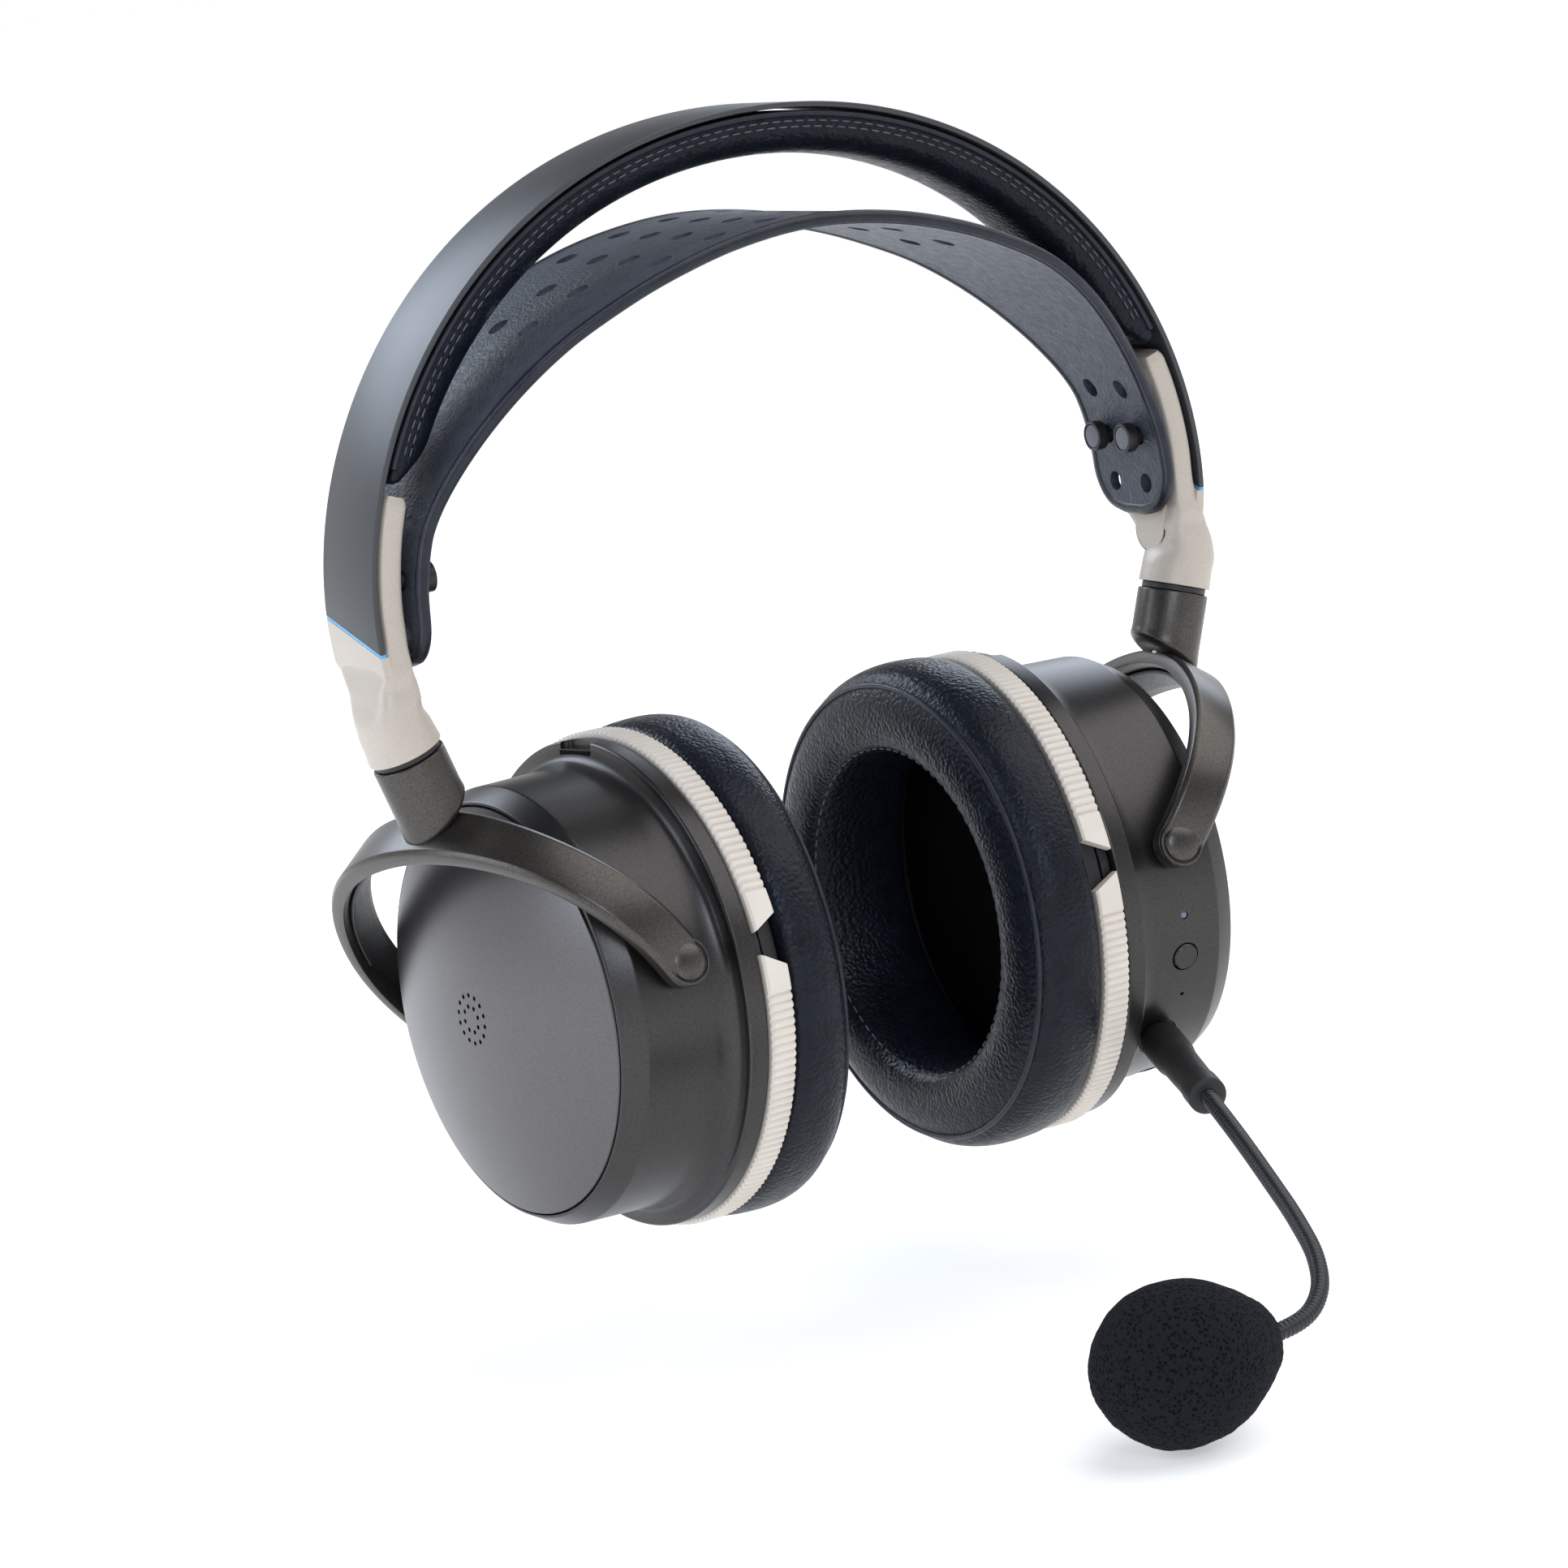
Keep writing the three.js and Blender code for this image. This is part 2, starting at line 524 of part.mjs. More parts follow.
function circuitBoard() {
  return turned([[BOARD.x, 0], [BOARD.x, BOARD.radius], [BOARD.x + BOARD.thick, BOARD.radius],
    [BOARD.x + BOARD.thick, 0]], 1, 24);
}

function volumeWheel() {
  const centre = HOUSING.wallRadius + WHEEL.proud - WHEEL.radius;
  const wheel = turned([[-WHEEL.thick / 2, 0], [-WHEEL.thick / 2, WHEEL.radius], [WHEEL.thick / 2, WHEEL.radius],
    [WHEEL.thick / 2, 0]], 1, 24);
  return { wheel, centre };
}

// ---------- microphone ----------
function boomPoint(along) {
  return BOOM_EXIT.clone().addScaledVector(BOOM_AIM, along);
}

function boot() {
  const turn = new THREE.Quaternion().setFromUnitVectors(Y, BOOM_AIM);
  const radii = [[BOOT.start, 0], [BOOT.start, BOOT.baseRadius - 0.6], [8, BOOT.baseRadius], [12, BOOT.baseRadius],
    [BOOT.length - 1.2, BOOT.tipRadius], [BOOT.length, BOOT.tipRadius - 1.2], [BOOT.length, 0]];
  const geometry = outward(new THREE.LatheGeometry(radii.map(([up, r]) => new THREE.Vector2(r, up)), 20));
  return geometry.applyQuaternion(turn).translate(...BOOM_EXIT.toArray());
}

function gooseneck(route) {
  const line = new THREE.CatmullRomCurve3(route.map((p) => new THREE.Vector3(...p)), false, 'centripetal');
  const section = new THREE.Shape();
  section.absarc(0, 0, NECK_TUBE.radius, 0, 2 * Math.PI, false);
  const steps = Math.round(line.getLength() / (NECK_TUBE.radius * 3));
  return new THREE.ExtrudeGeometry(new THREE.Shape(section.getPoints(NECK_TUBE.sides / 2)), {
    steps, extrudePath: line, bevelEnabled: false });
}

// The two lengths of gooseneck meet in rounded knuckles, so that one can swing against the other.
function withKnuckle(tube, place) {
  const ball = new THREE.SphereGeometry(NECK_TUBE.knuckle, 8, 6).translate(...place.toArray());
  return geometryOf(solid(tube).add(solid(ball)));
}

function micCapsule() {
  const shape = new THREE.CylinderGeometry(CAPSULE.radius, CAPSULE.radius, CAPSULE.length, 16);
  return shape.translate(0, CAPSULE.length / 2 + GAP, 0);
}

// Foam egg with a fitted hollow for the capsule and an open neck for the gooseneck.
function windscreen() {
  const hollow = [[CAPSULE.length + 2 * GAP, 0], [CAPSULE.length + 2 * GAP, CAPSULE.radius + GAP],
    [0, CAPSULE.radius + GAP], [-0.6, NECK_TUBE.radius + 0.6], [-3, NECK_TUBE.radius + 0.6]];
  const skin = [[-3, FOAM.neck], [3, 10.4], [10, 14.4], [17, FOAM.radius], [24, 14.6], [30, 10.6],
    [FOAM.length - 4, 5], [FOAM.length - 3, 0]];
  return outward(new THREE.LatheGeometry([...hollow, ...skin].map(([up, r]) => new THREE.Vector2(r, up)), 18));
}

function boomSocket() {
  const s = BOOM_SOCKET;
  const ring = [[0, s.inner], [0, s.outer], [s.length - 3, s.outer], [s.length - 3, s.inner], [0, s.inner]];
  return outward(new THREE.LatheGeometry(ring.map(([up, r]) => new THREE.Vector2(r, up)), 16));
}

function alongAxis(geometry, origin, aim) {
  const turn = new THREE.Quaternion().setFromUnitVectors(Y, aim);
  return geometry.applyQuaternion(turn).translate(...origin.toArray());
}

// ---------- assembly ----------
const headset = new THREE.Group();
piece(headset, 'spring_band', springBand(), BAND_GREY);
piece(headset, 'band_pad', bandPad(), LEATHER);
piece(headset, 'suspension_strap', suspensionStrap(), SLATE);

const cupMatrices = {};
for (const [side, word] of [[1, 'left'], [-1, 'right']]) {
  piece(headset, `end_cap_${word}`, endCap(side), BEIGE);
  piece(headset, `side_plate_${word}`, sidePlate(side), BEIGE);
  studPlaces(side).forEach((place, i) => {
    piece(headset, `strap_stud_${word}_${i ? 'rear' : 'front'}`, strapStud(side, place), BLACK);
  });
  const rod = rodBetween(neckPoint(side, -ROD.below), neckPoint(side, ROD.above), ROD.radius, 16);
  piece(headset, `slide_rod_${word}`, rod, STEEL);
  piece(headset, `swivel_washer_${word}`, swivelWasher(side), BLACK);

  // the arm stands a few degrees toed in about its collar
  const turn = new THREE.Group();
  turn.position.copy(neckPoint(side, 0));
  turn.quaternion.setFromAxisAngle(neckAxis(side), -side * TOE_IN[word]);
  headset.add(turn);
  const arm = new THREE.Group();
  arm.position.copy(neckPoint(side, 0)).negate();
  turn.add(arm);
  piece(arm, `yoke_${word}`, yoke(side), GUNMETAL);

  const cup = new THREE.Group();
  cup.applyMatrix4(cupFrame(side));
  arm.add(cup);
  headset.updateMatrixWorld(true);
  cupMatrices[word] = cup.matrixWorld.clone();
  const lined = bailBand(YOKE.thick + GAP, YOKE.thick + GAP + LINER.thick, LINER.width, LINER.from, LINER.to, 0,
    side, 16);
  piece(cup, `yoke_liner_${word}`, lined, BLACK);
  for (const [end, where] of [[-1, 'front'], [1, 'rear']]) {
    piece(cup, `pivot_cap_${word}_${where}`, pivotCap(side, end), GUNMETAL);
    const pin = pivotRod(side, end, 41, YOKE.span - PIVOT.recess - GAP, PIVOT.pinRadius, 12);
    piece(cup, `pivot_pin_${word}_${where}`, pin, STEEL);
  }
  piece(cup, `housing_${word}`, housing(side, cupMatrices[word]), GUNMETAL);
  piece(cup, `cover_plate_${word}`, coverPlate(side), GUNMETAL);
  piece(cup, `baffle_${word}`, tube(side, BAFFLE.outX - BAFFLE.thick, BAFFLE.outX, BAFFLE.hole, BAFFLE.radius), BLACK);
  piece(cup, `driver_${word}`, driver(side), BLACK);
  piece(cup, `pad_frame_${word}`, tube(side, PAD_FRAME.inX, PAD_FRAME.outX, PAD_FRAME.inner, PAD_FRAME.outer), BLACK);
  for (const [half, start] of [['upper', 0], ['lower', Math.PI]]) {
    const gap = KNURL.gapHalfAngle;
    const sector = ringSector(side, KNURL.inX, KNURL.outX, KNURL.inner, KNURL.outer, start + gap,
      start + Math.PI - gap, 14);
    piece(cup, `knurled_ring_${half}_${word}`, sector, IVORY);
  }
  piece(cup, `ear_pad_${word}`, earPad(side), LEATHER);
  const felt = radialBox(side, -VENT.angle, VENT.x, HOUSING.flangeRadius - VENT.deep - 1 + GAP,
    HOUSING.flangeRadius - VENT.deep + 0.6, VENT.length - 2 * GAP, VENT.width - 2 * GAP);
  piece(cup, `felt_vent_${word}`, felt, BLACK);

  if (side > 0) {
    piece(cup, 'circuit_board', circuitBoard(), BOARD_GREEN);
    piece(cup, 'power_button', radialRod(1, BUTTON.angle, BUTTON.x, 42, HOUSING.wallRadius + BUTTON.proud,
      BUTTON.radius), GUNMETAL);
    piece(cup, 'status_light', radialRod(1, LIGHT.angle, LIGHT.x, 43, HOUSING.wallRadius - 0.3, LIGHT.radius, 8),
      LENS);
    piece(cup, 'charging_socket', radialBox(1, SOCKET_USB.angle, SOCKET_USB.x, HOUSING.wallRadius - SOCKET_USB.deep,
      HOUSING.wallRadius - 1, SOCKET_USB.length, SOCKET_USB.width), STEEL);
    const { wheel, centre } = volumeWheel();
    const place = new THREE.Vector3(WHEEL.x, -centre * Math.cos(WHEEL.angle), -centre * Math.sin(WHEEL.angle));
    piece(cup, 'volume_wheel', wheel, BLACK).position.copy(place);
  } else {
    const cell = new THREE.BoxGeometry(BATTERY.thick, BATTERY.wide, BATTERY.tall);
    piece(cup, 'battery', cell, STEEL).position.set(-BATTERY.x - BATTERY.thick / 2, 0, 0);
  }
}

// the boom hangs from the left cup
piece(headset, 'boom_socket', alongAxis(boomSocket(), boomPoint(-BOOM_SOCKET.length + 0.5), BOOM_AIM), BLACK);
piece(headset, 'boom_plug', rodBetween(boomPoint(-PLUG.length), boomPoint(BOOT.start - GAP), PLUG.radius), STEEL);
piece(headset, 'boom_boot', boot(), BLACK);

const middle = 3;
const bend = new THREE.Vector3(...BOOM_ROUTE[middle]);
const bendAim = new THREE.Vector3(...BOOM_ROUTE[middle + 1]).sub(new THREE.Vector3(...BOOM_ROUTE[middle - 1]));
bendAim.setLength(NECK_TUBE.apart);
const lowerEnd = bend.clone().sub(bendAim);
const upperStart = bend.clone().add(bendAim);
const lower = [boomPoint(BOOT.length + GAP).toArray(), ...BOOM_ROUTE.slice(0, middle), lowerEnd.toArray()];
const upper = [upperStart.toArray(), ...BOOM_ROUTE.slice(middle + 1)];
piece(headset, 'gooseneck_lower', withKnuckle(gooseneck(lower), lowerEnd), BLACK);
piece(headset, 'gooseneck_upper', withKnuckle(gooseneck(upper), upperStart), BLACK);

const neckEnd = new THREE.Vector3(...BOOM_ROUTE[BOOM_ROUTE.length - 1]);
const foamAim = neckEnd.clone().sub(new THREE.Vector3(...BOOM_ROUTE[BOOM_ROUTE.length - 2])).normalize();
piece(headset, 'mic_capsule', alongAxis(micCapsule(), neckEnd, foamAim), BLACK);
piece(headset, 'windscreen', alongAxis(windscreen(), neckEnd, foamAim), FOAM_BLACK);

export default headset;
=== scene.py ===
"""Looks for a wireless over-ear headset: band, strap, arms, ear cups and a boom microphone."""
import json
import math
import random

import bmesh
import bpy
from mathutils import Matrix, Vector


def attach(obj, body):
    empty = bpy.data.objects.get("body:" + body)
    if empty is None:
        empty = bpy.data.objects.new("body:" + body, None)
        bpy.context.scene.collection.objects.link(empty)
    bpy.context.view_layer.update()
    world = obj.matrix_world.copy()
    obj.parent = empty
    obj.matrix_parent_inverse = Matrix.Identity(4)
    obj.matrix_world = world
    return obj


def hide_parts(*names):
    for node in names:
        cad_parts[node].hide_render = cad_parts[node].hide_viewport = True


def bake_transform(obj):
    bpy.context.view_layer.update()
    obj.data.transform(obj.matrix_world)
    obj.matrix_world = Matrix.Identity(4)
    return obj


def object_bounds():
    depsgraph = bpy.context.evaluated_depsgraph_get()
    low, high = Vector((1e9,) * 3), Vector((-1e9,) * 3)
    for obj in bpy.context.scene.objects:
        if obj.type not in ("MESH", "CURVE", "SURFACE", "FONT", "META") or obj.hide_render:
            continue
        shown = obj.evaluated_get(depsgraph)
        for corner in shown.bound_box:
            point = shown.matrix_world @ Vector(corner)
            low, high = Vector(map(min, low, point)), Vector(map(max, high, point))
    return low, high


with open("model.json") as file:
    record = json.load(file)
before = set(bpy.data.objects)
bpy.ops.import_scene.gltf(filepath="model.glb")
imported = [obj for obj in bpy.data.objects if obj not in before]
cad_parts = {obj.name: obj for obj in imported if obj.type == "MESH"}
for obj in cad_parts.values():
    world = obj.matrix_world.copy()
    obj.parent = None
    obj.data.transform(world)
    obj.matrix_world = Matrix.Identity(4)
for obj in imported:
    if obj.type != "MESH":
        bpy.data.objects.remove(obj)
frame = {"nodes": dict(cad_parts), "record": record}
cad_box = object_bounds()
nodes = frame["nodes"]
random.seed(7)

# ---------- driving dimensions ----------
# Lengths are millimetres. Angles of the band, its pad, the caps, the camera and the sun are degrees, and
# all other angles are radians.
MM = 0.001
SIDES = {"left": 1, "right": -1}

ARCH = {"centre_z": 95.4, "mean": 90.6, "cos1": -7.2, "cos2": -7.5, "cos3": 2.75, "cos4": -0.7}
BAND = {"width": 23.8, "thick": 1.2, "front_tip": 99.8, "rear_tip": 96.1, "edge": 0.35}
BAND_PAD = {"width": 22.6, "thick": 9, "end": 80, "inset": 1.6}
STRAP = {"thick": 2.2, "end_half": 14, "crown_half": 31, "crown_z": 150, "end_z": 75, "side_x": 88.4}
STRAP_HOLE = {"radius": 2.1, "row_pitch": 10.5, "spacing": 11.8, "middle_z": 91.2}
STRAP_VENT = {"radius": 2.4, "row_pitch": 12.2, "spacing": 13.8, "middle_x": -5, "rows": 4, "full_rows": 2}
STUD = {"radius": 3.2, "high": 3.2, "clear": 0.8}
CAP = {"top": 81.2, "inset": 1.6, "thick": 5.6, "width": 22.4, "face_end": 103.5, "step_z": 75.5}
SIDE_PLATE = {"half_width": 5.5, "bend": 5, "y": -2.2, "top": (91.0, 80), "foot": (89.0, 65.4)}

NECK = {"x": 92.5, "y": -4.5, "z": 57.2, "lean": 0.319, "radius": 7.75}
WASHER_RADIUS = 6.9
COLLAR = {"radius": 7.6, "straight": 6}
YOKE = {"pivot_x": 61, "span": 51.5, "reach_x": 31, "reach_z": 40, "thick": 3.6, "width": 10, "square": 2.2,
        "bulge": 0.32}
PIVOT = {"radius": 3.9, "recess": 1.1}
CUP = {"rake": -0.231, "out": 0.9, "back": 0.9, "down": 1.6, "splay": 0.016}
TOE_IN = {"left": 0.065, "right": 0.099}

PLATE = {"radius": 42.4, "rim_x": 75, "rise": 7.8, "thick": 1.6}
KNURL = {"in_x": 38.8, "out_x": 44.5, "inner": 49.6, "outer": 52.3, "ribs": 92, "gap": 0.045, "block": 0.155,
         "deep": 0.62}
PAD = {"base_x": 38.5, "face_x": 18, "slope": 6, "bulge": 53.3}
BUTTON = {"angle": 0.528, "x": 61.6, "radius": 2.9}
LIGHT = {"angle": 0.325, "x": 61.7, "radius": 0.9}
PIN_HOLE = {"angle": 0.73, "x": 61.6, "radius": 0.45}
WHEEL = {"angle": 2.75, "x": 61.6, "radius": 8.5, "thick": 4.2, "proud": 1.4}
USB = {"angle": 1.492, "x": 63.5, "length": 9.4, "width": 3.6}
HOUSING_WALL = 46.2

BOOM_EXIT = Vector((57.4, -33.4, -31.6))
BOOM_AIM = Vector((-0.28, -0.944, -0.174)).normalized()
BOOT = {"length": 33, "base": 4.5, "waist": 3.8, "tip": 4.1, "start": 0.6}
BOOM_ROUTE = [(43.6, -81.1, -41.8), (39, -97.5, -46.8), (34.5, -112.4, -51.4), (30, -124.3, -55.6),
              (24.8, -132.2, -59), (18.4, -137, -61.3), (11.5, -138.8, -62.2), (5, -138.6, -62.4)]
HOSE = {"radius": 1.85, "pitch": 1.06, "groove": 0.28}
FOAM_RADIUS = 15.8

CAMERA = {"aim": (-15.4, -17.1, 36.4), "distance": 1000, "azimuth": -28.206, "elevation": 10.719,
          "roll": -7.191, "lens": 112.07}
SUN = {"strength": 2.2, "spread": 75, "turn": (11.5, 31, 0)}
# Each lamp's place and size in metres, and its power in watts.
LAMPS = {"key": ((-1.3, 0.2, 0.6), (0.8, 0.9), 8), "rim": ((-0.45, 1.2, 0.85), (0.9, 0.7), 11),
         "rear": ((1.0, 0.9, 0.7), (0.8, 0.8), 6), "front": ((-0.5, -1.4, 0.8), (0.7, 0.5), 7)}
LAMP_TINT = (0.78, 0.87, 1.0)


# ---------- materials ----------
def shader(name, colour, roughness, metallic=0.0, **sockets):
    material = bpy.data.materials.new(name)
    material.use_nodes = True
    base = material.node_tree.nodes["Principled BSDF"]
    base.inputs["Base Color"].default_value = (*colour, 1)
    base.inputs["Roughness"].default_value = roughness
    base.inputs["Metallic"].default_value = metallic
    for socket, value in sockets.items():
        base.inputs[socket.replace("_", " ")].default_value = value
    return material


def add_node(tree, kind, **inputs):
    made = tree.nodes.new(kind)
    for socket, value in inputs.items():
        made.inputs[socket].default_value = value
    return made


def coordinates(tree):
    return tree.nodes.new("ShaderNodeTexCoord").outputs["Object"]


def noise(tree, scale, detail=3.0, roughness=0.55):
    made = add_node(tree, "ShaderNodeTexNoise", Scale=scale, Detail=detail, Roughness=roughness)
    tree.links.new(coordinates(tree), made.inputs["Vector"])
    return made.outputs["Fac"]


def cells(tree, scale, feature="F1"):
    made = tree.nodes.new("ShaderNodeTexVoronoi")
    made.feature = feature
    made.inputs["Scale"].default_value = scale
    tree.links.new(coordinates(tree), made.inputs["Vector"])
    return made.outputs["Distance"]


def spread(tree, value, low, high, out_low, out_high):
    made = tree.nodes.new("ShaderNodeMapRange")
    tree.links.new(value, made.inputs["Value"])
    for socket, number in (("From Min", low), ("From Max", high), ("To Min", out_low), ("To Max", out_high)):
        made.inputs[socket].default_value = number
    return made.outputs["Result"]


def vary_colour(material, value, dark, light):
    tree = material.node_tree
    ramp = tree.nodes.new("ShaderNodeValToRGB")
    ramp.color_ramp.elements[0].color = (*dark, 1)
    ramp.color_ramp.elements[1].color = (*light, 1)
    ramp.color_ramp.elements[0].position = 0.3
    ramp.color_ramp.elements[1].position = 0.7
    tree.links.new(value, ramp.inputs["Fac"])
    tree.links.new(ramp.outputs["Color"], tree.nodes["Principled BSDF"].inputs["Base Color"])


def vary_roughness(material, value, low, high):
    tree = material.node_tree
    ranged = spread(tree, value, 0.3, 0.7, low, high)
    tree.links.new(ranged, tree.nodes["Principled BSDF"].inputs["Roughness"])


def add_bump(material, layers):
    """layers: (height socket, depth in millimetres, strength), stacked one on another."""
    tree = material.node_tree
    below = None
    for height, depth, strength in layers:
        bump = add_node(tree, "ShaderNodeBump", Strength=strength, Distance=depth * MM)
        tree.links.new(height, bump.inputs["Height"])
        if below:
            tree.links.new(below, bump.inputs["Normal"])
        below = bump.outputs["Normal"]
    tree.links.new(below, tree.nodes["Principled BSDF"].inputs["Normal"])


def metallic_paint(name, dark, light, roughness, metallic, flake=3200):
    material = shader(name, light, roughness, metallic)
    tree = material.node_tree
    vary_colour(material, noise(tree, flake, 2.0, 0.7), dark, light)
    vary_roughness(material, noise(tree, 35, 2.0), roughness - 0.01, roughness + 0.02)
    add_bump(material, [(noise(tree, flake, 2.0), 0.02, 0.15)])
    return material


def leather(name, dark, light, roughness, pebble, depth, shine):
    material = shader(name, light, roughness, Specular_IOR_Level=shine)
    tree = material.node_tree
    vary_colour(material, noise(tree, 240, 4.0), dark, light)
    vary_roughness(material, noise(tree, 500, 3.0), roughness - 0.06, roughness + 0.08)
    grain = spread(tree, cells(tree, pebble, "SMOOTH_F1"), 0.0, 0.75, 1.0, 0.0)
    add_bump(material, [(grain, depth, 0.8), (noise(tree, 120, 3.0), 0.1, 0.1)])
    return material


def moulded(name, dark, light, roughness, scale=900, depth=0.03, shine=0.5):
    material = shader(name, light, roughness, Specular_IOR_Level=shine)
    tree = material.node_tree
    vary_colour(material, noise(tree, 90, 4.0), dark, light)
    vary_roughness(material, noise(tree, scale, 2.0), roughness - 0.05, roughness + 0.06)
    add_bump(material, [(noise(tree, scale, 2.0), depth, 0.3)])
    return material


def porous_foam():
    material = shader("foam", (0.006, 0.0065, 0.008), 0.95, Specular_IOR_Level=0.12)
    tree = material.node_tree
    pores = spread(tree, cells(tree, 1150), 0.05, 0.62, 0.0, 1.0)
    vary_colour(material, pores, (0.001, 0.0011, 0.0015), (0.011, 0.012, 0.016))
    add_bump(material, [(pores, 0.35, 0.9), (noise(tree, 420, 3.0), 0.4, 0.5)])
    return material


def brushed_steel():
    material = shader("steel", (0.5, 0.5, 0.51), 0.3, 1.0)
    tree = material.node_tree
    vary_colour(material, noise(tree, 700, 3.0), (0.4, 0.4, 0.41), (0.56, 0.56, 0.57))
    vary_roughness(material, noise(tree, 1500, 2.0), 0.25, 0.38)
    return material


LOOKS = {
    "band_paint": metallic_paint("band_grey", (0.052, 0.054, 0.058), (0.070, 0.073, 0.078), 0.4, 0.5),
    "champagne_metal": metallic_paint("champagne", (0.46, 0.405, 0.35), (0.55, 0.49, 0.43), 0.44, 0.2),
    "gunmetal": metallic_paint("bronze_grey", (0.054, 0.050, 0.046), (0.110, 0.101, 0.093), 0.33, 0.9),
    "gunmetal_shell": metallic_paint("shell_grey", (0.046, 0.043, 0.043), (0.072, 0.068, 0.067), 0.33, 0.9),
    "black_leather": leather("navy_leather", (0.004, 0.005, 0.009), (0.007, 0.010, 0.018),
                             0.36, 1250, 0.2, 0.2),
    "slate_leather": leather("slate_leather", (0.036, 0.043, 0.060), (0.052, 0.062, 0.084),
                             0.5, 1500, 0.2, 0.35),
    "ivory_plastic": moulded("ivory", (0.67, 0.605, 0.54), (0.73, 0.67, 0.605), 0.5),
    "black_plastic": moulded("black_plastic", (0.008, 0.008, 0.009), (0.014, 0.014, 0.016), 0.45),
    "black_rubber": moulded("black_rubber", (0.008, 0.008, 0.009), (0.013, 0.013, 0.014), 0.55, 1600, 0.05),
    "black_hose": moulded("black_hose", (0.007, 0.007, 0.009), (0.012, 0.013, 0.016), 0.38, 1600, 0.02),
    "felt": moulded("felt", (0.003, 0.003, 0.003), (0.008, 0.008, 0.009), 0.9, 2600, 0.25, 0.1),
    "board": moulded("board_green", (0.01, 0.055, 0.03), (0.018, 0.085, 0.045), 0.35),
    "lamp_lens": moulded("lens", (0.10, 0.12, 0.17), (0.16, 0.18, 0.24), 0.15),
    "foam": porous_foam(),
    "steel": brushed_steel(),
}
EXTRA = {
    "rim": leather("rim_leather", (0.008, 0.010, 0.017), (0.015, 0.018, 0.028), 0.38, 1500, 0.05, 0.35),
    # The cover plate's paint is the shell paint made about twice as light: painted light that stands in for
    # the light falling on the plate.
    "dome": metallic_paint("dome_grey_painted_light", (0.100, 0.096, 0.098), (0.142, 0.136, 0.139), 0.33, 0.9),
    "thread": moulded("thread", (0.05, 0.06, 0.08), (0.10, 0.11, 0.14), 0.6, 3000, 0.1),
    "accent": moulded("blue_line", (0.08, 0.34, 0.66), (0.12, 0.42, 0.75), 0.35),
    "stud_face": moulded("stud_face", (0.065, 0.075, 0.1), (0.085, 0.095, 0.125), 0.35),
    "mesh": moulded("driver_cloth", (0.0008, 0.0008, 0.001), (0.002, 0.002, 0.003), 0.95, 2400, 0.3, 0.05),
}


# ---------- mesh helpers ----------
def build(name, points, faces, look, body=None, slot=None, sharp=38, matrix=None):
    """A smooth-shaded mesh piece from points in millimetres; sharp is the crease angle in degrees."""
    mesh = bpy.data.meshes.new(name)
    placed = [matrix @ Vector(p) if matrix else Vector(p) for p in points]
    mesh.from_pydata([p * MM for p in placed], [], faces)
    work = bmesh.new()
    work.from_mesh(mesh)
    bmesh.ops.recalc_face_normals(work, faces=work.faces)
    work.to_mesh(mesh)
    work.free()
    obj = bpy.data.objects.new(name, mesh)
    bpy.context.scene.collection.objects.link(obj)
    mesh.materials.append(look)
    smooth(obj, sharp)
    if body:
        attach(obj, body)
    return obj


def smooth(obj, sharp):
    mesh = obj.data
    mesh.polygons.foreach_set("use_smooth", [True] * len(mesh.polygons))
    mesh.set_sharp_from_angle(angle=math.radians(sharp))


def skin(rings, closed=False, caps=True):
    """Faces over rings of equal length; closed joins the last ring to the first."""
    size = len(rings[0])
    points = [p for ring in rings for p in ring]
    faces = []
    for i in range(len(rings) if closed else len(rings) - 1):
        here, there = i * size, ((i + 1) % len(rings)) * size
        for j in range(size):
            k = (j + 1) % size
            faces.append((here + j, here + k, there + k, there + j))
    if caps and not closed:
        faces.append(tuple(range(size - 1, -1, -1)))
        faces.append(tuple(range((len(rings) - 1) * size, len(rings) * size)))
    return points, faces


def turned(profile, segments=144, side=1, closed_profile=False):
    """A turned surface about X. A profile point on the axis closes to a fan."""
    rings = []
    for i in range(segments):
        angle = 2 * math.pi * i / segments
        rings.append([(side * x, r * math.cos(angle), r * math.sin(angle)) for x, r in profile])
    size = len(profile)
    points = [p for ring in rings for p in ring]
    faces = []
    last = size if closed_profile else size - 1
    for i in range(segments):
        here, there = i * size, ((i + 1) % segments) * size
        for j in range(last):
            k = (j + 1) % size
            faces.append((here + j, here + k, there + k, there + j))
    return points, faces


def weld(obj, distance=0.0005):
    work = bmesh.new()
    work.from_mesh(obj.data)
    bmesh.ops.remove_doubles(work, verts=work.verts, dist=distance * MM)
    bmesh.ops.recalc_face_normals(work, faces=work.faces)
    work.to_mesh(obj.data)
    work.free()


def lathe(name, profile, look, body, matrix, side=1, segments=144, closed_profile=False, sharp=38):
    points, faces = turned(profile, segments, side, closed_profile)
    obj = build(name, points, faces, look, matrix=matrix)
    weld(obj)
    smooth(obj, sharp)
    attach(obj, body)
    return obj


def rounded(corners, radius, steps=3):
    """A closed outline with each corner rounded; corners are 2-D points."""
    outline = []
    count = len(corners)
    for i, corner in enumerate(corners):
        here = Vector(corner)
        before, after = Vector(corners[i - 1]) - here, Vector(corners[(i + 1) % count]) - here
        reach = min(radius, before.length * 0.45, after.length * 0.45)
        start, end = here + before.normalized() * reach, here + after.normalized() * reach
        for j in range(steps + 1):
            t = j / steps
            outline.append(start * (1 - t) ** 2 + here * 2 * t * (1 - t) + end * t * t)
    return outline


